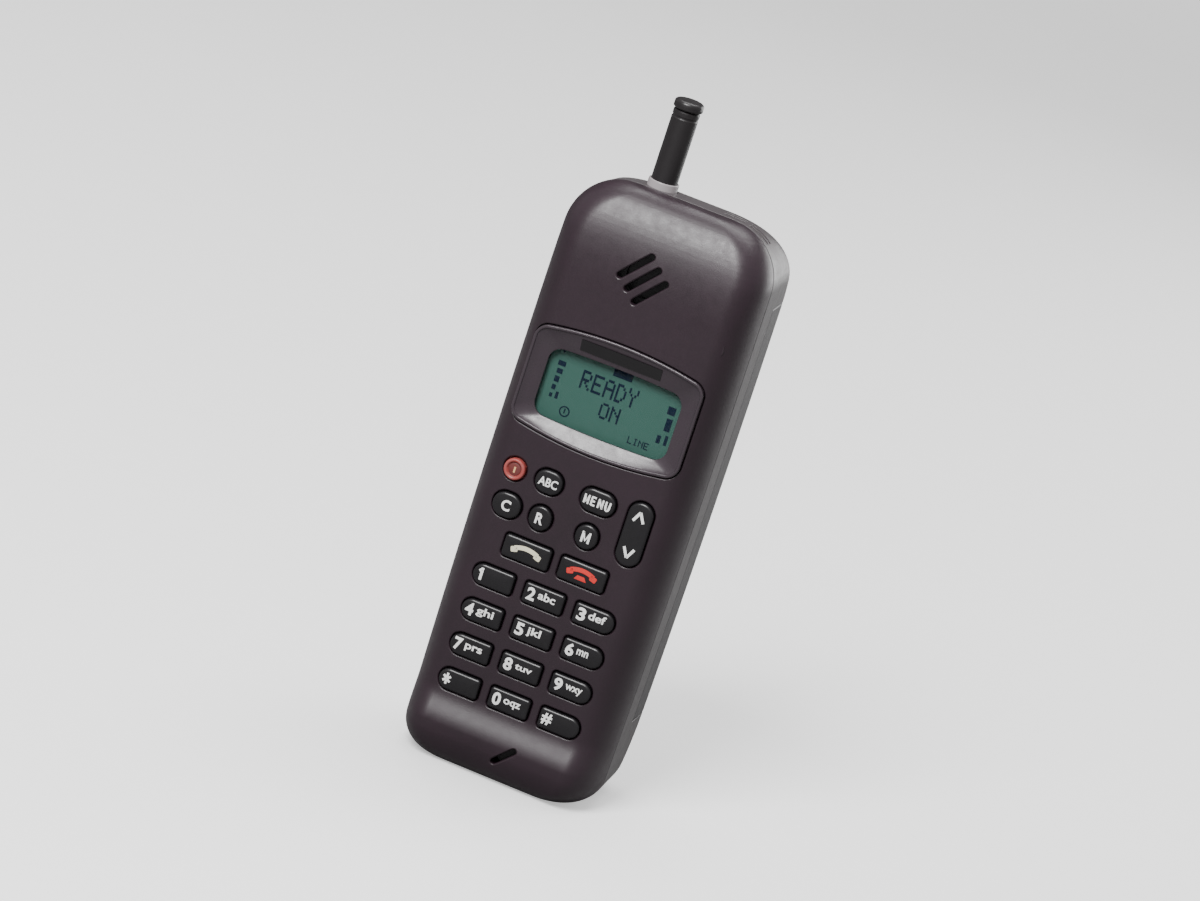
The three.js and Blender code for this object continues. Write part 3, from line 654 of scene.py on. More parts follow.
def printed(name, base, polish=0.4, fade=0.8, **shader):
    """Ink of a colour."""
    return material(name, "printed", {"Color": tuple(base), "Faded": lighter(base, fade), "Polish": polish},
                    **shader)


def finish():
    return bpy.context.scene.phone_finish


PLASTICS = {
    "front_plastic": ("front", 0.40, {"grain": 0.42}),
    # The rear and pack plastics are lighter than the front partly as painted reflection of the glancing light
    # on the side band.
    "rear_plastic": ("rear", 0.36, {"grain": 0.35}),
    "pack_plastic": ("pack", 0.40, {"grain": 0.42}),
    "key_rubber": ("keys", 0.34, {"grain": 0.12, "wear": 0.25, "edge": 0.12}),
    "antenna_plastic": ("antenna", 0.36, {"grain": 0.1, "wear": 0.3, "edge": 0.1}),
}


def plastic(name):
    """One of the phone's own plastics, in the colour that its finish gives; the rear and pack colours are
    partly painted reflection.
    """
    part, polish, surface = PLASTICS[name]
    return moulded(name, getattr(finish(), part), polish, IOR=1.5, **surface)


# ------------------------------------------------------------------ pieces
def form():
    return BodyForm(bpy.context.scene.phone_shape)


def surface_y(body, x, z):
    """The front cover's outer surface at a place."""
    front = body.front_at(z)
    inner = body.half_at(z) - body.s.flank_width
    share = (abs(x) - inner) / body.s.flank_width
    if share <= 0:
        return front
    return quarter(SEAM_Y, front - SEAM_Y, min(1.0, share))


MOUTH_STEPS = (14, 32, 50, 70, 90)


def mouth_cutter(outline, surface, depth, round_by):
    """A cutter with a flared mouth, so that the cut's outer edge is rounded. outline(grow) gives points."""
    loops = []
    first = math.radians(MOUTH_STEPS[0])
    start = round_by * (1 - math.sin(first))
    loops.append(at_depth(outline(start), CHIN_Y - 3 * MM))
    for step in MOUTH_STEPS:
        angle = math.radians(step)
        grow = round_by * (1 - math.sin(angle))
        dy = round_by * (1 - math.cos(angle))
        loops.append([Vector((x, surface(x, z) + dy, z)) for x, z in outline(grow)])
    loops.append(at_depth(outline(0), depth))
    return loft("cutter", loops)


class KeyForm:
    """One key's outline, taken from its CAD node: the flange's box gives its place and size."""

    FLANGE = 0.9 * MM

    def __init__(self, name, radius, left_radius):
        self.node = "key_" + name
        low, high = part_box(self.node)
        self.low_y, self.back_y = low.y, high.y
        self.x, _, self.z = (low + high) / 2
        self.width = high.x - low.x - 2 * self.FLANGE
        self.height = high.z - low.z - 2 * self.FLANGE
        self.radii = (left_radius, radius, radius, left_radius)

    def outline(self, grow=0.0):
        radii = [max(0.02 * MM, radius + grow) for radius in self.radii]
        return rounded_outline(self.x, self.z, self.width + 2 * grow, self.height + 2 * grow, radii)


KEY_RADII = (
    ("star 7 4 1", 0.9, 2.8), ("0 8 5 2", 0.9, 0.9), ("hash 9 6 3", 2.8, 0.9), ("send end", 1.0, 1.0),
    ("abc menu", 3.1, 3.1), ("c", 3.3, 3.3), ("r m", 3.15, 3.15), ("scroll", 3.4, 3.4), ("power", 2.95, 2.95),
)


def key_forms():
    """Every key, by name."""
    forms = {}
    for names, radius, left_radius in KEY_RADII:
        for name in names.split():
            forms[name] = KeyForm(name, radius * MM, left_radius * MM)
    return forms


def screw_places():
    """The middle of each housing screw in X and Z, and the Y of its tip."""
    nodes = [f"housing_screw_{i}" for i in range(1, 5)]
    return [(middle(node).x, middle(node).z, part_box(node)[0].y) for node in nodes]


def arched_outline(x, z, width, height, arch, radius, grow=0.0, steps=8):
    """A rounded rectangle whose long edges bow outwards."""
    half = width / 2 + grow
    tall = height / 2 + grow - arch
    radius = radius + grow
    flat = half - radius
    points = []

    def corner(sx, sz, start):
        for i in range(steps + 1):
            angle = math.radians(start + 90 * i / steps)
            points.append((sx * flat + radius * math.cos(angle),
                           sz * (tall - radius) + radius * math.sin(angle)))

    def edge(first, sz):
        for i in range(1, 2 * steps):
            points.append((first * (1 - i / steps), sz * tall))

    corner(1, -1, -90)
    corner(1, 1, 0)
    edge(flat, 1)
    corner(-1, 1, 90)
    corner(-1, -1, 180)
    edge(-flat, -1)
    return [(x + px, z + pz + math.copysign(arch * (1 - (px / half) ** 2), pz)) for px, pz in points]


class PieceOperator:
    """What every operator here shares: it can be undone, and it runs build, which raises on failure."""

    bl_options = {"REGISTER", "UNDO"}

    def execute(self, context):
        self.build(context)
        return {"FINISHED"}


EAR = {"x": -1.7 * MM, "z": 142.7 * MM, "long": 11.3 * MM, "wide": 1.7 * MM, "angle": 48}
EAR_PITCH = 3.95 * MM
MIC = {"x": 3.6 * MM, "z": 8.9 * MM, "long": 8 * MM, "wide": 1.6 * MM, "angle": 45}
SLOT_ROUND = 0.45 * MM
FIELD_MARGIN = Vector((0.3 * MM, 0, 0.3 * MM))
SHANK_HOLE = 1.3 * MM
BOSS_RADIUS = 2.6 * MM
HEAD_HOLE = 2.4 * MM
HEAD_LENGTH = 1.9 * MM
HEAD_BOSS = 3.7 * MM
TONGUE_HALF = 3.3 * MM
BAY_GAP = 0.15 * MM


def bezel_outline(grow=0.0):
    """The display bezel's outline, from its CAD node."""
    low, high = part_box("display_bezel")
    centre = middle("display_bezel")
    return arched_outline(centre.x, centre.z, high.x - low.x, high.z - low.z, 2.6 * MM, 3.2 * MM, grow, 12)


class PHONE_OT_front_cover(PieceOperator, bpy.types.Operator):
    """Builds the front cover with its key openings, display opening, earpiece slots and microphone slot"""

    bl_idname = "phone.front_cover"
    bl_label = "Front cover"

    def build(self, context):
        body = form()
        wall = body.s.wall
        self.inner_y = body.face_y + wall
        cover = loft("front_cover_look", [body.front_loop(z, rim=body.s.edge_round) for z in body.heights()])
        hollow = loft("hollow", [body.front_loop(z, wall, SEAM_Y + wall) for z in
                                 body.heights(wall, BODY_LENGTH - wall, wall)])
        combine(cover, [hollow], "DIFFERENCE")
        bosses, holes = [], []
        for x, z, tip in screw_places():
            start = body.front_at(z) + wall / 2
            boss = step_profile((BOSS_RADIUS, start), (BOSS_RADIUS, FRONT_BACK_Y))
            hole = step_profile((SHANK_HOLE, tip - GAP), (SHANK_HOLE, SEAM_Y))
            bosses.append(turned_y("boss", boss, x, z))
            holes.append(turned_y("hole", hole, x, z, 24))
        combine(cover, [joined("bosses", bosses)], "UNION")
        combine(cover, [joined("holes", holes)], "DIFFERENCE")
        for room in self.rooms():
            combine(cover, [room], "DIFFERENCE")
        for cutter in self.openings(body):
            cut(cover, cutter)
        smooth(cover)
        place(cover, "housing", "front_plastic", plastic("front_plastic"), "front_cover")

    def rooms(self):
        """Room behind the face for the keypad, the display stack and the earpiece."""
        mat_low, mat_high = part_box("keypad_mat")
        low, high = mat_low - FIELD_MARGIN, mat_high + FIELD_MARGIN
        board_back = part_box("keypad_board")[1].y
        field = block("field", (low.x, self.inner_y - TINY, low.z), (high.x, board_back, high.z))
        low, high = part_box("lcd_frame")
        centre = middle("lcd_frame")
        outline = arched_outline(centre.x, centre.z, high.x - low.x, high.z - low.z, 0.6 * MM, 6.4 * MM, GAP)
        display = loft("display", [at_depth(outline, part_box("display_bezel")[1].y - TINY),
                                   at_depth(outline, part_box("backlight_plate")[1].y + GAP)])
        low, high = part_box("earpiece_gasket")
        radius = (high.x - low.x) / 2 + GAP
        centre = middle("earpiece_gasket")
        seat = turned_y("seat", step_profile((radius, low.y - GAP), (radius, SEAM_Y)), centre.x, centre.z)
        return field, display, seat

    def openings(self, body):
        """Cutters with rounded mouths for the keys, the bezel, the earpiece slots and the microphone slot."""
        surface = lambda x, z: surface_y(body, x, z)
        cutters = []
        for key in key_forms().values():
            cutters.append(mouth_cutter(lambda grow, key=key: key.outline(body.s.key_gap + grow), surface,
                                        self.inner_y + 0.5 * MM, 0.5 * MM))
        cutters.append(mouth_cutter(lambda grow: bezel_outline(GAP + grow), surface,
                                    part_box("display_bezel")[1].y, 0.3 * MM))
        across = math.radians(EAR["angle"] - 90)
        slots = [(EAR, step * EAR_PITCH, self.inner_y + body.s.wall) for step in (-1, 0, 1)]
        slots.append((MIC, 0, self.inner_y))
        for slot, shift, depth in slots:
            x = slot["x"] + shift * math.cos(across)
            z = slot["z"] + shift * math.sin(across)
            outline = lambda grow, x=x, z=z, slot=slot: slot_outline(x, z, slot["long"], slot["wide"],
                                                                     slot["angle"], grow, 12)
            cutters.append(mouth_cutter(outline, surface, depth, SLOT_ROUND))
        return cutters


class PHONE_OT_rear_cover(PieceOperator, bpy.types.Operator):
    """Builds the rear cover with the battery bay, the antenna opening and the connector opening"""

    bl_idname = "phone.rear_cover"
    bl_label = "Rear cover"

    def build(self, context):
        body = form()
        wall = body.s.wall
        bay = body.s.bay_wall
        low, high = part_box("battery_shell")
        bay_y = low.y - BAY_GAP
        bottom, top = low.z - BAY_GAP, high.z + BAY_GAP
        cover = loft("rear_cover_look", [body.rear_loop(z, rim=body.s.edge_round) for z in body.heights()])
        combine(cover, [block("room", (-FAR, bay_y, bottom), (FAR, FAR, top))], "DIFFERENCE")
        hollow = loft("hollow", [body.rear_loop(z, wall, SEAM_Y - wall) for z in
                                 body.heights(wall, BODY_LENGTH - wall, wall)])
        kept = block("kept", (-FAR, bay_y - bay, bottom - bay), (FAR, FAR, top + bay))
        combine(hollow, [kept], "DIFFERENCE")
        combine(cover, [hollow], "DIFFERENCE")
        head_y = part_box("housing_screw_1")[1].y - HEAD_LENGTH
        bosses, holes = [], []
        for x, z, _ in screw_places():
            back = body.back_at(z) - 0.5 * MM if z < bottom else bay_y - TINY
            bosses.append(turned_y("boss", step_profile((HEAD_BOSS, REAR_FRONT_Y), (HEAD_BOSS, back)), x, z))
            holes.append(turned_y("hole", step_profile((SHANK_HOLE, REAR_FRONT_Y - MM), (SHANK_HOLE, head_y),
                                                       (HEAD_HOLE, head_y), (HEAD_HOLE, FAR / 2)), x, z, 32))
        combine(cover, [joined("bosses", bosses)], "UNION")
        combine(cover, [joined("holes", holes)], "DIFFERENCE")
        combine(cover, [joined("cutters", self.cutters(bay_y, bay, top))], "DIFFERENCE")
        smooth(cover)
        # The rear plastic's colour is partly painted reflection of the glancing light on the side band.
        place(cover, "housing", "rear_plastic", plastic("rear_plastic"), "rear_cover")

    def cutters(self, bay_y, bay, top):
        """Cutters for the antenna bore, connector, contact pads, latch tongue and the ringer's slots."""
        low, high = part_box("antenna_bush")
        sleeve = (high.x - low.x) / 2 + BAY_GAP
        centre = middle("antenna_bush")
        bore = step_profile((sleeve, BODY_LENGTH - 5 * MM), (sleeve, 2 * FAR))
        pieces = [turned("bore", bore, (centre.x, centre.y), sides=64)]
        low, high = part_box("system_connector")
        pieces.append(block("socket", (low.x - GAP, low.y - GAP, -MM), (high.x + GAP, high.y + GAP, high.z)))
        low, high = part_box("contact_block")
        pieces.append(block("pads", (low.x - GAP, bay_y - bay - MM, low.z - GAP),
                            (high.x + GAP, bay_y + MM, high.z + GAP)))
        low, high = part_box("battery_latch")
        pieces.append(block("tongue", (-TONGUE_HALF, low.y - GAP, top - MM),
                            (TONGUE_HALF, FAR, high.z + GAP)))
        first = Vector((10 * MM, SEAM_Y + 2.7 * MM, BODY_LENGTH - 10 * MM))
        for column, row in ((0, 0), (0, 1), (1, 0), (1, 1)):
            corner = first + Vector((7.4 * MM * column, 2.4 * MM * row, 0))
            pieces.append(block("slot", corner, corner + Vector((6 * MM, 1.2 * MM, 11 * MM))))
        return pieces


class PHONE_OT_battery(PieceOperator, bpy.types.Operator):
    """Builds the battery pack's shell and its latch"""

    bl_idname = "phone.battery"
    bl_label = "Battery pack"

    def build(self, context):
        body = form()
        wall = body.s.pack_wall
        rim = body.s.edge_round
        low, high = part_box("battery_shell")
        rows = [low.z, low.z + 0.3 * rim, low.z + rim]
        rows += [z for z in body.heights(low.z, high.z) if low.z + rim < z < high.z - rim]
        rows += [high.z - rim, high.z - 0.3 * rim, high.z]

        def pack_loop(z):
            edge = min(z - low.z, high.z - z)
            shrink = max(0.0, 1 - edge / rim) ** 2 * rim
            loop = body.rear_loop(z, front_y=low.y, rim=rim)
            for p in loop:
                p.x -= math.copysign(shrink, p.x)
                if p.y > low.y + rim:
                    p.y -= shrink
            return loop

        shell = loft("battery_shell_look", [pack_loop(z) for z in rows])
        hollow = loft("hollow", [body.rear_loop(z, wall, low.y - MM) for z in
                                 body.heights(low.z + wall, high.z - wall)])
        latch_low, latch_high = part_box("battery_latch")
        well_half = latch_high.x + GAP
        well_low, well_high = latch_low.z - 3 * MM, latch_low.z + 10 * MM
        floor_y = latch_low.y - GAP
        back = block("back", (-FAR, BACK_Y - wall, -FAR), (FAR, FAR, 2 * FAR))
        walls = block("walls", (-well_half - wall, floor_y - wall, well_low - wall),
                      (well_half + wall, FAR, 2 * FAR))
        combine(hollow, [back, walls], "DIFFERENCE")
        combine(shell, [hollow], "DIFFERENCE")
        well = block("well", (-well_half, floor_y, well_low), (well_half, FAR, well_high), 0.5 * MM)
        slit = block("slit", (-TONGUE_HALF, floor_y, well_high - MM),
                     (TONGUE_HALF, floor_y + 2.2 * MM, high.z + MM))
        combine(shell, [well, slit], "DIFFERENCE")
        smooth(shell)
        # The pack plastic's colour is partly painted reflection of the glancing light on the side band.
        place(shell, "battery_pack", "pack_plastic", plastic("pack_plastic"), "battery_shell")
        self.latch(latch_low, latch_high)

    def latch(self, low, high):
        """A grooved plate with a tongue behind its upper end."""
        face, half = high.y, high.x
        plate_high = low.z + 9.2 * MM
        latch = block("battery_latch_look", (-half, face - 1.3 * MM, low.z), (half, face, plate_high),
                      0.4 * MM)
        groove, reach = 0.75 * MM, half - MM
        rod = [(0, -reach), (0.7 * groove, 0.1 * groove - reach), (groove, groove - reach),
               (groove, reach - groove), (0.7 * groove, reach - 0.1 * groove), (0, reach)]
        grooves = [turned("groove", rod, (face + 0.25 * MM, low.z + (1.6 + 2 * i) * MM), 0, 20)
                   for i in range(4)]
        combine(latch, [joined("grooves", grooves)], "DIFFERENCE")
        side, root = 3 * MM, plate_high - 2.6 * MM
        tongue = block("tongue", (-side, low.y, root), (side, low.y + 1.6 * MM, high.z), 0.25 * MM)
        post = block("post", (-side, low.y + 0.2 * MM, root), (side, face - 0.65 * MM, plate_high - 0.2 * MM))
        combine(latch, [tongue, post], "UNION")
        smooth(latch)
        gloss = moulded("gloss_black", (0.012, 0.010, 0.012), 0.22, grain=0.05, wear=0.2, edge=0.2, IOR=1.52)
        place(latch, "latch", "key_plastic", gloss, "battery_latch")


# ------------------------------------------------------------------ lettering and marks
MARK_THICKNESS = 0.1 * MM


def extent(mesh, axis):
    places = [v.co[axis] for v in mesh.vertices]
    return min(places), max(places)


def lettering(text, x, z, width, height, bold):
    """Lettering of a given width and height in the middle of a place, facing -Y at y 0."""
    curve = bpy.data.curves.new("lettering", "FONT")
    curve.body = text
    curve.offset = bold
    curve.extrude = 0.5
    curve.resolution_u = 6
    source = new_object("lettering", curve)
    bpy.context.view_layer.update()
    graph = bpy.context.evaluated_depsgraph_get()
    mesh = bpy.data.meshes.new_from_object(source.evaluated_get(graph), depsgraph=graph)
    bpy.data.objects.remove(source)
    bpy.data.curves.remove(curve)
    left, right = extent(mesh, 0)
    low, high = extent(mesh, 1)
    for v in mesh.vertices:
        v.co = Vector((x + (v.co.x - (left + right) / 2) * width / (right - left), -v.co.z * MARK_THICKNESS,
                       z + (v.co.y - (low + high) / 2) * height / (high - low)))
    return new_object("lettering", mesh)


def slab(outline, thickness=MARK_THICKNESS):
    """A flat piece with this outline, centred on y 0."""
    bm = bmesh.new()
    front = [bm.verts.new((x, -thickness / 2, z)) for x, z in outline]
    back = [bm.verts.new((x, thickness / 2, z)) for x, z in outline]
    count = len(outline)
    for i in range(count):
        j = (i + 1) % count
        bm.faces.new((front[i], front[j], back[j], back[i]))
    bm.faces.new(front)
    bm.faces.new(list(reversed(back)))
    bmesh.ops.triangulate(bm, faces=[f for f in bm.faces if len(f.verts) > 4])
    bmesh.ops.recalc_face_normals(bm, faces=bm.faces)
    return from_bmesh("slab", bm)


def drape(obj, target, proud=0.03 * MM, step=0.4 * MM):
    """Lays a flat piece on target's front, so that its front stands proud of it."""
    bm = bmesh.new()
    bm.from_mesh(obj.data)
    for axis in (0, 2):
        low, high = extent(obj.data, axis)
        normal = Vector((axis == 0, 0, axis == 2))
        for i in range(1, int((high - low) / step) + 1):
            bmesh.ops.bisect_plane(bm, geom=bm.verts[:] + bm.edges[:] + bm.faces[:], dist=1e-7,
                                   plane_co=normal * (low + i * step), plane_no=normal)
    bm.to_mesh(obj.data)
    bm.free()
    graph = bpy.context.evaluated_depsgraph_get()
    tree = BVHTree.FromObject(target, graph)
    for v in obj.data.vertices:
        hit = tree.ray_cast(Vector((v.co.x, -0.1, v.co.z)), Vector((0, 1, 0)))[0]
        ground = hit.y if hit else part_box("key_1")[0].y
        v.co.y = ground - proud if v.co.y < 0 else ground + MARK_THICKNESS / 2


def stroke(points, width, thickness=MARK_THICKNESS):
    """A band along points, as a slab."""
    left, right = [], []
    for i, point in enumerate(points):
        before = Vector(points[max(0, i - 1)])
        after = Vector(points[min(len(points) - 1, i + 1)])
        along = (after - before).normalized()
        side = Vector((-along.y, along.x)) * width / 2
        left.append(tuple(Vector(point) + side))
        right.append(tuple(Vector(point) - side))
    return slab(left + list(reversed(right)), thickness)


STROKES = {
    "1": [[(0.6, 0), (0.6, 1)], [(0.62, 0.93), (0.05, 0.68)]],
    "M": [[(0, 0), (0, 1)], [(0, 0.95), (0.5, 0.2), (1, 0.95)], [(1, 1), (1, 0)]],
    "E": [[(0, 0), (0, 1)], [(0, 0.93), (1, 0.93)], [(0, 0.5), (0.85, 0.5)], [(0, 0.07), (1, 0.07)]],
    "N": [[(0, 0), (0, 1)], [(0, 0.95), (1, 0.05)], [(1, 0), (1, 1)]],
    "U": [[(0, 1), (0, 0.3), (0.2, 0.08), (0.5, 0.03), (0.8, 0.08), (1, 0.3), (1, 1)]],
    "*": [[(0.5, 0), (0.5, 1)], [(0.07, 0.25), (0.93, 0.75)], [(0.07, 0.75), (0.93, 0.25)]],
}


def stroked(text, x, z, width, height, thick):
    """Lettering drawn with strokes of one thickness, in the middle of a place."""
    gap = 0.9 * MM
    cell = (width - thick - gap * (len(text) - 1)) / len(text)
    pieces = []
    for index, letter in enumerate(text):
        left = x - width / 2 + thick / 2 + index * (cell + gap)
        for line in STROKES[letter]:
            points = [(left + px * cell, z - height / 2 + pz * height) for px, pz in line]
            pieces.append(stroke(points, thick))
    return pieces


# ------------------------------------------------------------------ keys
KEY_EDGE = 0.75 * MM
KEY_DOME = 0.14 * MM
FLANGE_THICKNESS = 0.8 * MM
FONT_WORDS = {"abc": ("ABC", 5.4, 2.4, 0.022), "c": ("C", 2.5, 3.0, 0.03), "r": ("R", 2.2, 3.0, 0.03),
              "hash": ("#", 2.9, 3.2, 0.03)}
FONT_WORDS.update({digit: (digit, 2.35, 3.5, 0.035) for digit in "023456789"})
STROKE_WORDS = {"menu": ("MENU", 7.6, 2.5, 0.5), "m": ("M", 2.5, 3.0, 0.62), "1": ("1", 2.0, 3.4, 0.75),
                "star": ("*", 3.0, 3.1, 0.62)}
DIGIT_LETTERS = dict(zip("234567890", "abc def ghi jkl mn prs tuv wxy oqz".split()))
DIGIT_KEYS = {"star", "hash"} | set("0123456789")
DIGIT_SHIFT = 3.4 * MM
DIGIT_RISE = 0.15 * MM
LOW_LETTER = 1.55
TALL_LETTER = 2.2
TAIL = 0.55
LETTER_PITCH = 1.62


def key_cap(key):
    """A key with its flange and a crowned top."""
    flange = key.back_y - FLANGE_THICKNESS
    side_y = key.low_y + KEY_DOME + KEY_EDGE
    rings = [(KeyForm.FLANGE, key.back_y), (KeyForm.FLANGE, flange), (0.02 * MM, flange),
             (0, flange - 0.2 * MM), (0, side_y)]
    rings += [(-KEY_EDGE * rest, side_y - KEY_EDGE * sine) for sine, rest in bends(7)]
    small = min(key.width, key.height) / 2
    for i in range(1, 6):
        share = i / 5.5
        rings.append((-KEY_EDGE - (small - KEY_EDGE) * share, key.low_y + KEY_DOME * (1 - share) ** 2))
    return loft(key.node + "_look", [at_depth(key.outline(grow), y) for grow, y in rings])


class PHONE_OT_keys(PieceOperator, bpy.types.Operator):
    """Builds every key with its flange, its crowned top and its printed marks"""

    bl_idname = "phone.keys"
    bl_label = "Keys"

    def build(self, context):
        self.white = printed("legend_white", finish().legend, 0.45, IOR=1.45)
        for name, key in key_forms().items():
            if name == "power":
                self.power(key)
                continue
            cap = key_cap(key)
            if name == "scroll":
                self.waist(cap, key)
            smooth(cap, 50)
            place(cap, key.node + "_body", "key_plastic", plastic("key_rubber"), key.node)
            self.marks(name, key, cap)

    def waist(self, cap, key):
        """A shallow dip across the middle of the rocker."""
        for v in cap.data.vertices:
            depth = 0.35 * MM * math.exp(-((v.co.z - key.z) / (2.6 * MM)) ** 2)
            if v.co.y < key.low_y + 1.0 * MM:
                v.co.y += depth

    def power(self, key):
        """A raised ring round a dished middle, with a small mark."""
        front, back = key.low_y, key.back_y
        flange = back - FLANGE_THICKNESS
        outer = key.width / 2 - 0.05 * MM
        rim = [(0, back), (outer + KeyForm.FLANGE, back), (outer + KeyForm.FLANGE, flange),
               (outer, flange), (outer, front + 0.6 * MM)]
        for i in range(1, 9):
            angle = math.pi * i / 8
            rim.append((outer - 0.5 * MM * (1 - math.cos(angle)), front + 0.6 * MM * (1 - math.sin(angle))))
        rim += [(outer - 1.15 * MM, front + 0.75 * MM), (0, front + 0.85 * MM)]
        dish = outer - 1.2 * MM
        disc = [(0, front + 0.9 * MM), (dish, front + 0.9 * MM), (dish, front + 0.62 * MM),
                (dish - GAP, front + 0.5 * MM), (0, front + 0.45 * MM)]
        red = finish().power
        ring = moulded("power_key", red, 0.42, grain=0.1, edge=0.12, IOR=1.5)
        centre = moulded("power_pad", lighter(red, 0.42), 0.4, grain=0.1, edge=0.1)
        cap = turned_y("key_power_look", rim, key.x, key.z, 64)
        pad = turned_y("power_pad", disc, key.x, key.z)
        for piece, look, replaced in ((cap, ring, ["key_power"]), (pad, centre, [])):
            smooth(piece, 50)
            place(piece, "key_power_body", "power_key", look, *replaced)
        x = key.x + 0.1 * MM
        bar = stroke([(x, key.z - 0.9 * MM), (x, key.z + 0.7 * MM)], 0.5 * MM)
        bar.name = "power_mark"
        drape(bar, pad)
        place(bar, "key_power_body", "power_key", printed("power_mark", (0.70, 0.42, 0.20), 0.45))

    def marks(self, name, key, cap):
        """The key's printed marks, laid on its top."""
        x, z, paint = key.x, key.z, self.white
        if name in DIGIT_KEYS:
            x, z = x - DIGIT_SHIFT, z + DIGIT_RISE
        if name in FONT_WORDS:
            text, width, height, bold = FONT_WORDS[name]
            pieces = [lettering(text, x, z, width * MM, height * MM, bold)]
        elif name in STROKE_WORDS:
            text, *sizes = STROKE_WORDS[name]
            pieces = stroked(text, x, z, *(size * MM for size in sizes))
        elif name == "scroll":
            pieces = []
            for side, end in ((1, -1), (1, 1), (-1, -1), (-1, 1)):
                arm = [(x + end * 1.45 * MM, z + side * 3.7 * MM), (x, z + side * 6.4 * MM)]
                pieces.append(stroke(arm[::-end], 0.75 * MM))
        elif name == "send":
            pieces = handset(x, z + 0.2 * MM)
            paint = printed("send_mark", finish().send, 0.45, IOR=1.45)
        else:
            pieces = handset(x, z + 0.45 * MM) + cradle(x, z)
            paint = printed("end_mark", finish().end, 0.45, IOR=1.45)
        if name in DIGIT_LETTERS:
            pieces.append(self.letters(DIGIT_LETTERS[name], x, key.z))
        mark = joined(key.node + "_mark", pieces)
        drape(mark, cap)
        place(mark, key.node + "_body", "key_plastic", paint)

    def letters(self, text, x, z):
        """The small letters to the right of a digit, standing on one base line."""
        tall = TALL_LETTER if set("bdfhkl") & set(text) else LOW_LETTER
        deep = TAIL if set("gjpqy") & set(text) else 0
        width = LETTER_PITCH * MM * len(text) * (0.82 if "j" in text else 1)
        z += 0.35 * MM + (tall - LOW_LETTER - deep) * MM / 2
        return lettering(text, x + 2 * MM + width / 2, z, width, (tall + deep) * MM, 0.022)


def handset(x, z):
    """A telephone handset lying on its back: a bowed band with two drooping ends."""
    reach = 3.35 * MM
    band = [(x + reach * i / 8, z + 0.75 * MM * (1 - (i / 8) ** 2)) for i in range(-8, 9)]
    pieces = [stroke(band, 1.2 * MM)]
    for side in (-1, 1):
        end = x + side * reach
        outline = rounded_outline(end, z - 0.4 * MM, 1.9 * MM, 1.5 * MM, (0.35 * MM,) * 4, 4)
        turn = Matrix.Rotation(math.radians(-side * 16), 2)
        pivot = Vector((end, z - 0.35 * MM))
        pieces.append(slab([tuple(pivot + turn @ (Vector(p) - pivot)) for p in outline]))
    return pieces


def cradle(x, z):
    """The rest below the handset."""
    top, low = z - 0.35 * MM, z - 1.55 * MM
    return [slab([(x - 1.0 * MM, top), (x + 1.0 * MM, top), (x + 1.75 * MM, low), (x - 1.75 * MM, low)])]


# ------------------------------------------------------------------ display
CELL_ROWS = {
    "R": "11110 10001 10001 11110 10100 10010 10001", "E": "11111 10000 10000 11110 10000 10000 11111",
    "A": "01110 10001 10001 11111 10001 10001 10001", "D": "11100 10010 10001 10001 10001 10010 11100",
    "Y": "10001 10001 01010 00100 00100 00100 00100", "O": "01110 10001 10001 10001 10001 10001 01110",
    "N": "10001 11001 10101 10011 10001 10001 10001", "L": "10000 10000 10000 10000 10000 10000 11111",
    "I": "01110 00100 00100 00100 00100 00100 01110",
}
LCD_STEP = MM / 3.73
LCD_CENTRE = (-9, -43)
LCD_CELL = 0.08 * MM
LCD_BARS = (
    (-71, -65, -63, -60), (-70, -57, -64, -52), (-70, -49, -65, -43), (-70, -40, -66, -35),
    (-70, -31, -67, -27), (-64, -34, -61, -27), (48, -62, 56, -54), (50, -50, 56, -37),
    (54, -33, 57, -23), (46, -31, 50, -23), (-15, -79, 5, -70),
)
LCD_LINES = (("READY", -44, -65, 16, -46), ("ON", -17, -41, 4, -25), ("LINE", 19, -19, 41, -12))
LCD_CLOCK = (-41, -25)
LCD_MAST = (-59.5, 33.5)
WINDOW_ARCH = 0.6 * MM


def dots(text, x0, y0, x1, y1):
    """Square dots, five wide and seven high, for lettering that fills a place."""
    pitch = (x1 - x0) / (6 * len(text) - 1)
    rise = (y1 - y0) / 7
    gap = 0.05 * pitch
    cells = []
    for index, letter in enumerate(text):
        for row, line in enumerate(CELL_ROWS[letter].split()):
            for column, dot in enumerate(line):
                if dot == "1":
                    left = x0 + (index * 6 + column) * pitch
                    low = y1 - (6 - row) * rise
                    cells.append((left, low - rise + gap, left + pitch - gap, low))
    return cells


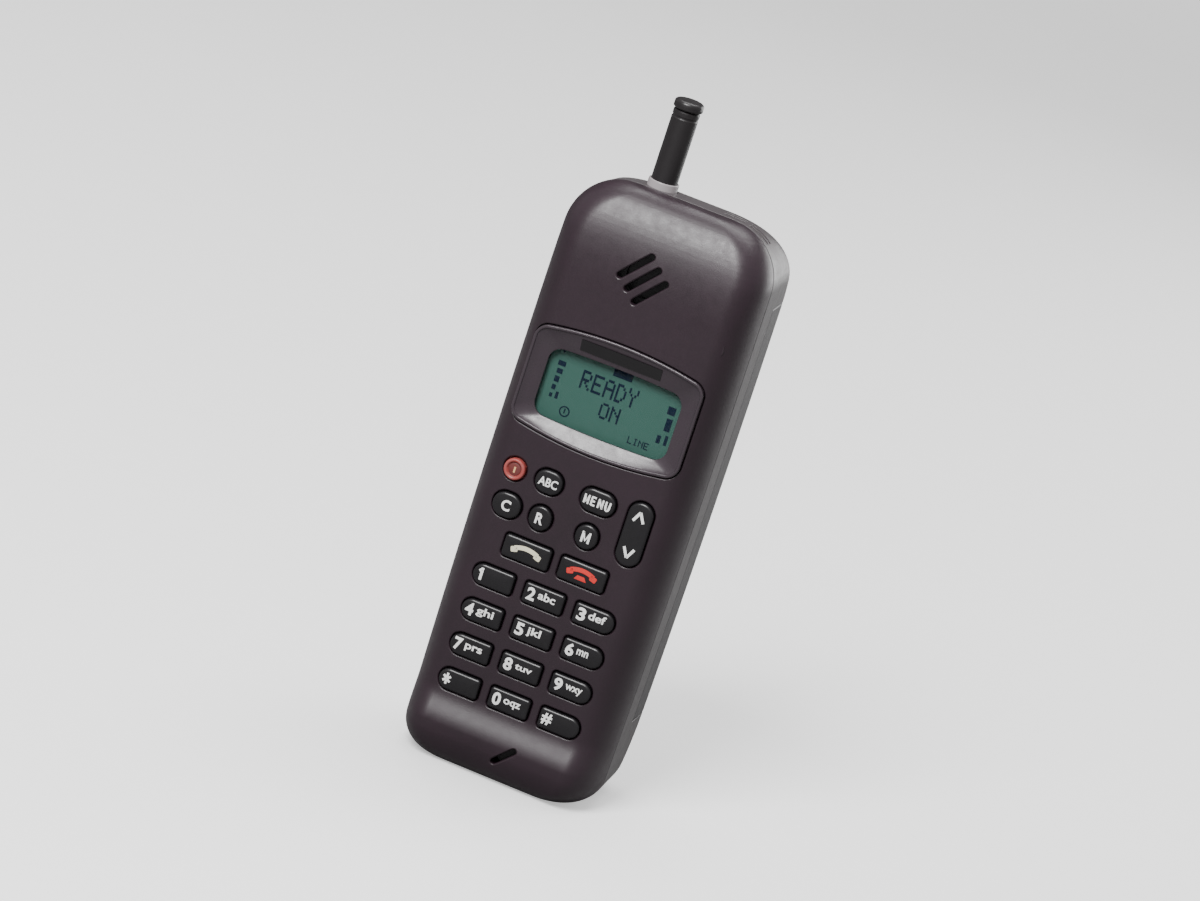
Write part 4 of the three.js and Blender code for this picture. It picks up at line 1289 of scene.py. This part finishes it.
class PHONE_OT_display(PieceOperator, bpy.types.Operator):
    """Builds the display's bezel, its window and the dark marks of the LCD"""

    bl_idname = "phone.display"
    bl_label = "Display"

    def build(self, context):
        low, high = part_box("display_window")
        centre = middle("display_window")
        self.x, self.z = centre.x, centre.z
        lap = 2 * MM
        self.view = (high.x - low.x - 2 * lap, high.z - low.z - 2 * lap)
        self.bezel(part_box("display_bezel")[0].y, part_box("display_bezel")[1].y)
        self.window(low.y, high.y, lap)
        self.marks(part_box("lcd_glass")[0].y)

    def view_outline(self, grow=0.0, lap=0.0):
        """The outline of the glass that shows, or of the window that laps behind the bezel."""
        return arched_outline(self.x, self.z, self.view[0] + 2 * lap, self.view[1] + 2 * lap, WINDOW_ARCH,
                              3.4 * MM + lap, grow, 12)

    def bezel(self, front, back):
        """A ring with a raised rim, slopes down to the window and a rounded step at their foot."""
        round_by, lip = 0.35 * MM, 0.55 * MM
        rings = [(0, back), (0, front + round_by)]
        rings += [(-round_by * rest, front + round_by * (1 - sine)) for sine, rest in bends(5)]
        rings += [(-lip - 0.30 * MM * sine, front + round_by * rest) for sine, rest in bends(4, 0)]
        loops = [at_depth(bezel_outline(grow), y) for grow, y in rings]
        depth = back - 0.6 * MM
        start = front + lip
        for share in (0.25, 0.5, 0.75, 0.96):
            loops.append([Vector((a[0] + (b[0] - a[0]) * share, start + (depth - start) * share,
                                  a[1] + (b[1] - a[1]) * share))
                          for a, b in zip(bezel_outline(-0.9 * MM), self.view_outline(0.25 * MM))])
        loops.append(at_depth(self.view_outline(0.02 * MM), depth + 0.1 * MM))
        loops.append(at_depth(self.view_outline(), back))
        ring = loft("display_bezel_look", loops, closed=True)
        smooth(ring, 40)
        rim = moulded("bezel_plastic", (0.036, 0.026, 0.033), 0.30, grain=0.1, wear=0.7, edge=0.3, IOR=1.5)
        place(ring, "housing", "gloss_black", rim, "display_bezel")

    def window(self, front, back, lap):
        edge = 0.15 * MM
        pane = loft("display_window_look", [at_depth(self.view_outline(grow, lap), y) for grow, y in
                                            ((0, back), (0, front + edge), (-edge, front))])
        smooth(pane, 30)
        clear = printed("clear_window", (0.02, 0.03, 0.03), 0.05, 0.9, Alpha=0.12, IOR=1.5)
        place(pane, "housing", "clear_window", clear, "display_window")

    def at(self, x, y):
        """A place on the LCD, from steps right of and below the middle of the bezel."""
        return self.x + x * LCD_STEP, self.z - y * LCD_STEP

    def marks(self, glass_y):
        """Signal and charge bars, two lines of lettering and small signs, as raised dark cells."""
        cells = list(LCD_BARS)
        for line in LCD_LINES:
            cells += dots(*line)
        pieces = []
        for x0, y0, x1, y1 in cells:
            left, low = self.at(x0 - LCD_CENTRE[0], y1 - LCD_CENTRE[1])
            right, high = self.at(x1 - LCD_CENTRE[0], y0 - LCD_CENTRE[1])
            pieces.append(slab([(left, low), (right, low), (right, high), (left, high)], LCD_CELL))
        x, z = self.at(LCD_CLOCK[0], -LCD_CLOCK[1])
        inner, outer, half = 4.2 * LCD_STEP, 5.5 * LCD_STEP, LCD_CELL / 2
        face = [(inner, -half), (outer, -half), (outer, half), (inner, half)]
        pieces.append(turned_y("clock", face, x, z, 32))
        pieces.append(stroke([(x, z - 2 * LCD_STEP), (x, z + 3 * LCD_STEP)], 1.3 * LCD_STEP, LCD_CELL))
        x, z = self.at(LCD_MAST[0], -LCD_MAST[1])
        mast = [(x + i * LCD_STEP, z + j * LCD_STEP) for i, j in ((3, 3), (0, -4), (-3, 3))]
        pieces.append(slab(mast, LCD_CELL))
        ink = joined("lcd_ink", pieces)
        for v in ink.data.vertices:
            v.co.y += glass_y - 0.05 * MM
        place(ink, "housing", "lcd", printed("lcd_ink", finish().ink, 0.6, Specular_IOR_Level=0.1))


# ------------------------------------------------------------------ antenna
class PHONE_OT_antenna(PieceOperator, bpy.types.Operator):
    """Builds the antenna's tube, its cap and the bush that it slides in"""

    bl_idname = "phone.antenna"
    bl_label = "Antenna"

    def build(self, context):
        low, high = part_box("antenna_tube")
        radius = (high.x - low.x) / 2
        bore, edge, ring = 1.9 * MM, 0.3 * MM, 0.15 * MM
        top = high.z
        tube = [(bore, low.z), (radius - edge, low.z), (radius, low.z + edge), (radius, top - 2.2 * MM),
                (radius - ring, top - 2.0 * MM), (radius - ring, top - 1.6 * MM), (radius, top - 1.4 * MM),
                (radius, top - edge), (radius - edge, top), (bore, top)]
        black = plastic("antenna_plastic")
        self.turn("antenna_tube", tube, 32, "antenna", "antenna_plastic", black)

        low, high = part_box("antenna_cap")
        wide = (high.x - low.x) / 2
        stem = 1.6 * MM
        base = low.z + 4 * MM
        under, over = 0.5 * MM, 1.1 * MM
        cap = [(0, low.z), (stem, low.z), (stem, base), (wide - under, base)]
        cap += [(wide - under * (1 - sine), base + under * rest) for sine, rest in bends(4)]
        cap += [(wide - over * rest, high.z - 0.15 * MM - MM * (1 - sine)) for sine, rest in bends(7)]
        cap += [(1.5 * MM, high.z - 0.03 * MM), (0, high.z)]
        self.turn("antenna_cap", cap, 50, "antenna", "antenna_plastic", black)

        low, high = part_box("antenna_bush")
        outer = (high.x - low.x) / 2
        inner = outer - 0.45 * MM
        crest = high.z
        bush = [(inner, low.z), (outer, low.z), (outer, crest - 0.3 * MM),
                (outer - 0.1 * MM, crest - 0.08 * MM), (outer - 0.22 * MM, crest), (inner, crest - 0.05 * MM)]
        collar = moulded("collar_plastic", (0.33, 0.30, 0.31), 0.34, grain=0.1, edge=0.1)
        self.turn("antenna_bush", bush, 32, "housing", "rear_plastic", collar)

    def turn(self, node, profile, sharp, body, slot, look):
        """Turns one piece about the antenna's axis, in place of its CAD node."""
        piece = turned(node + "_look", profile, middle("antenna_tube").xy)
        smooth(piece, sharp)
        place(piece, body, slot, look, node)


# ------------------------------------------------------------------ carried-over parts
class PHONE_OT_inner_parts(PieceOperator, bpy.types.Operator):
    """Gives the parts inside the phone their materials"""

    bl_idname = "phone.inner_parts"
    bl_label = "Inner parts"

    def build(self, context):
        brass = metal("contact_brass", (0.62, 0.43, 0.18), (0.25, 0.14, 0.05), 0.28)
        rubber = moulded("inner_rubber", (0.035, 0.035, 0.037), 0.62, grain=0.3)
        inner = moulded("inner_plastic", (0.020, 0.019, 0.021), 0.45)
        board = printed("circuit_board", (0.022, 0.10, 0.045), 0.38, 0.7)
        steel = metal("bright_steel", (0.62, 0.62, 0.63), (0.30, 0.27, 0.22), 0.30)
        looks = {
            "label_plate": printed("label_gloss", (0.006, 0.005, 0.006), 0.10, 1.3, IOR=1.52),
            "lcd_glass": printed("lcd_ground", finish().lcd, 0.55, 0.9),
            "backlight_plate": printed("light_guide", (0.50, 0.60, 0.56), 0.30),
            # The battery cover takes the pack plastic, whose colour is partly painted reflection.
            "battery_cover": plastic("pack_plastic"),
        }
        cell = printed("cell_wrap", (0.05, 0.15, 0.27), 0.35)
        screws = " ".join(f"housing_screw_{i}" for i in range(1, 5))
        shared = (
            (inner, "lcd_frame earpiece_capsule microphone buzzer system_connector contact_block"),
            (rubber, "keypad_mat contact_strip earpiece_gasket"),
            (board, "keypad_board main_board"),
            (brass, "antenna_contact antenna_coil"),
            (steel, "rf_shield sim_reader latch_spring " + screws),
            (cell, " ".join(f"battery_cell_{i}" for i in range(1, 7))),
        )
        for look, nodes in shared:
            looks.update(dict.fromkeys(nodes.split(), look))
        for node, look in looks.items():
            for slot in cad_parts[node].material_slots:
                slot.material = look


# ------------------------------------------------------------------ stage
def area_light(name, offset, aim, size, power):
    """A soft rectangular light that faces the aim."""
    lamp = bpy.data.lights.new(name, "AREA")
    lamp.shape = "RECTANGLE"
    lamp.size, lamp.size_y = size
    lamp.energy = power
    obj = new_object(name, lamp)
    obj.location = aim + Vector(offset)
    obj.rotation_euler = (-Vector(offset)).to_track_quat("-Z", "Y").to_euler()


class PHONE_OT_stage(PieceOperator, bpy.types.Operator):
    """Sets up the floor, the soft lights and the camera"""

    bl_idname = "phone.stage"
    bl_label = "Stage"

    def build(self, context):
        stage = context.scene.phone_stage
        self.floor()
        aim = Vector(stage.aim)
        area_light("key_light", (-0.20, -0.86, 0.88), aim, (0.42, 0.62), 26)
        area_light("top_light", (0.0, 0.30, 1.0), aim, (0.8, 0.5), 8)
        area_light("back_light", (0.55, 0.95, 0.1), aim, (0.7, 0.9), 10)
        self.world(context)
        self.camera(context, stage, aim)

    def floor(self):
        """A pale floor that curves up far behind the phone."""
        near, flat, bend, top, half = -3.0, 1.2, 1.0, 4.0, 3.5
        profile = [(near, 0.0), (flat, 0.0)]
        profile += [(flat + bend * sine, bend * rest) for sine, rest in bends(12)]
        profile.append((flat + bend, top))
        bm = bmesh.new()
        rows = [[bm.verts.new((x, y, z)) for y, z in profile] for x in (-half, -1, 1, half)]
        for first, second in zip(rows, rows[1:]):
            for i in range(len(profile) - 1):
                bm.faces.new((first[i], second[i], second[i + 1], first[i + 1]))
        floor = from_bmesh("floor", bm)
        floor.data.shade_smooth()
        floor.data.materials.append(self.paper())

    def paper(self):
        """Pale paper that looks bright to the camera and throws less light back on the phone."""
        look = printed("pale_paper", (0.86, 0.86, 0.86), 0.7, 0.98)
        nodes = Nodes(look.node_tree)
        bright = look.node_tree.nodes["Principled BSDF"]
        bright.inputs["Emission Color"].default_value = (1, 1, 1, 1)
        bright.inputs["Emission Strength"].default_value = 0.50
        dim = nodes.add("ShaderNodeBsdfDiffuse")
        dim.inputs["Color"].default_value = (0.22, 0.22, 0.22, 1)
        mix = nodes.add("ShaderNodeMixShader")
        nodes.link(nodes.add("ShaderNodeLightPath").outputs["Is Camera Ray"], mix.inputs["Fac"])
        nodes.link(dim.outputs["BSDF"], mix.inputs[1])
        nodes.link(bright.outputs["BSDF"], mix.inputs[2])
        nodes.link(mix.outputs["Shader"], look.node_tree.nodes["Material Output"].inputs["Surface"])
        return look

    def world(self, context):
        world = bpy.data.worlds.new("studio")
        world.use_nodes = True
        background = world.node_tree.nodes["Background"]
        background.inputs["Color"].default_value = (1, 1, 1, 1)
        background.inputs["Strength"].default_value = 0.55
        context.scene.world = world

    def camera(self, context, stage, aim):
        data = bpy.data.cameras.new("camera")
        data.sensor_width = 36
        data.lens = 36 * stage.distance / stage.view_width
        data.clip_end = 20
        camera = new_object("camera", data)
        sin_a, cos_a = math.sin(stage.azimuth), math.cos(stage.azimuth)
        sin_e, cos_e = math.sin(stage.elevation), math.cos(stage.elevation)
        back = Vector((sin_a * cos_e, -cos_a * cos_e, sin_e))
        right = Vector((cos_a, sin_a, 0))
        up = Vector((-sin_a * sin_e, cos_a * sin_e, cos_e))
        roll_right = right * math.cos(stage.roll) + up * math.sin(stage.roll)
        roll_up = -right * math.sin(stage.roll) + up * math.cos(stage.roll)
        turn = Matrix((roll_right, roll_up, back)).transposed().to_4x4()
        camera.matrix_world = Matrix.Translation(aim + back * stage.distance) @ turn
        context.scene.camera = camera


# ------------------------------------------------------------------ the add-on
PIECE_OPERATORS = (
    PHONE_OT_front_cover,
    PHONE_OT_rear_cover,
    PHONE_OT_battery,
    PHONE_OT_display,
    PHONE_OT_keys,
    PHONE_OT_antenna,
    PHONE_OT_inner_parts,
    PHONE_OT_stage,
)


class PHONE_PT_panel(bpy.types.Panel):
    """Lists the phone's pieces, its sizes and its colours"""

    bl_label = "Early Mobile Phone"
    bl_idname = "PHONE_PT_panel"
    bl_space_type = "VIEW_3D"
    bl_region_type = "UI"
    bl_category = "Phone"

    def draw(self, context):
        layout = self.layout
        for operator in PIECE_OPERATORS:
            layout.operator(operator.bl_idname)
        for title, group in (("Shape", context.scene.phone_shape), ("Finish", context.scene.phone_finish),
                             ("Stage", context.scene.phone_stage)):
            box = layout.box()
            box.label(text=title)
            for name in group.__annotations__:
                box.prop(group, name)


CLASSES = (PhoneShape, PhoneFinish, PhoneStage) + PIECE_OPERATORS + (PHONE_PT_panel,)


def register():
    for cls in CLASSES:
        bpy.utils.register_class(cls)
    bpy.types.Scene.phone_shape = PointerProperty(type=PhoneShape)
    bpy.types.Scene.phone_finish = PointerProperty(type=PhoneFinish)
    bpy.types.Scene.phone_stage = PointerProperty(type=PhoneStage)


def unregister():
    del bpy.types.Scene.phone_stage
    del bpy.types.Scene.phone_finish
    del bpy.types.Scene.phone_shape
    for cls in reversed(CLASSES):
        bpy.utils.unregister_class(cls)


def main():
    register()
    bpy.ops.phone.front_cover()
    bpy.ops.phone.rear_cover()
    bpy.ops.phone.battery()
    bpy.ops.phone.display()
    bpy.ops.phone.keys()
    bpy.ops.phone.antenna()
    bpy.ops.phone.inner_parts()
    bpy.ops.phone.stage()


if __name__ == "__main__":
    main()
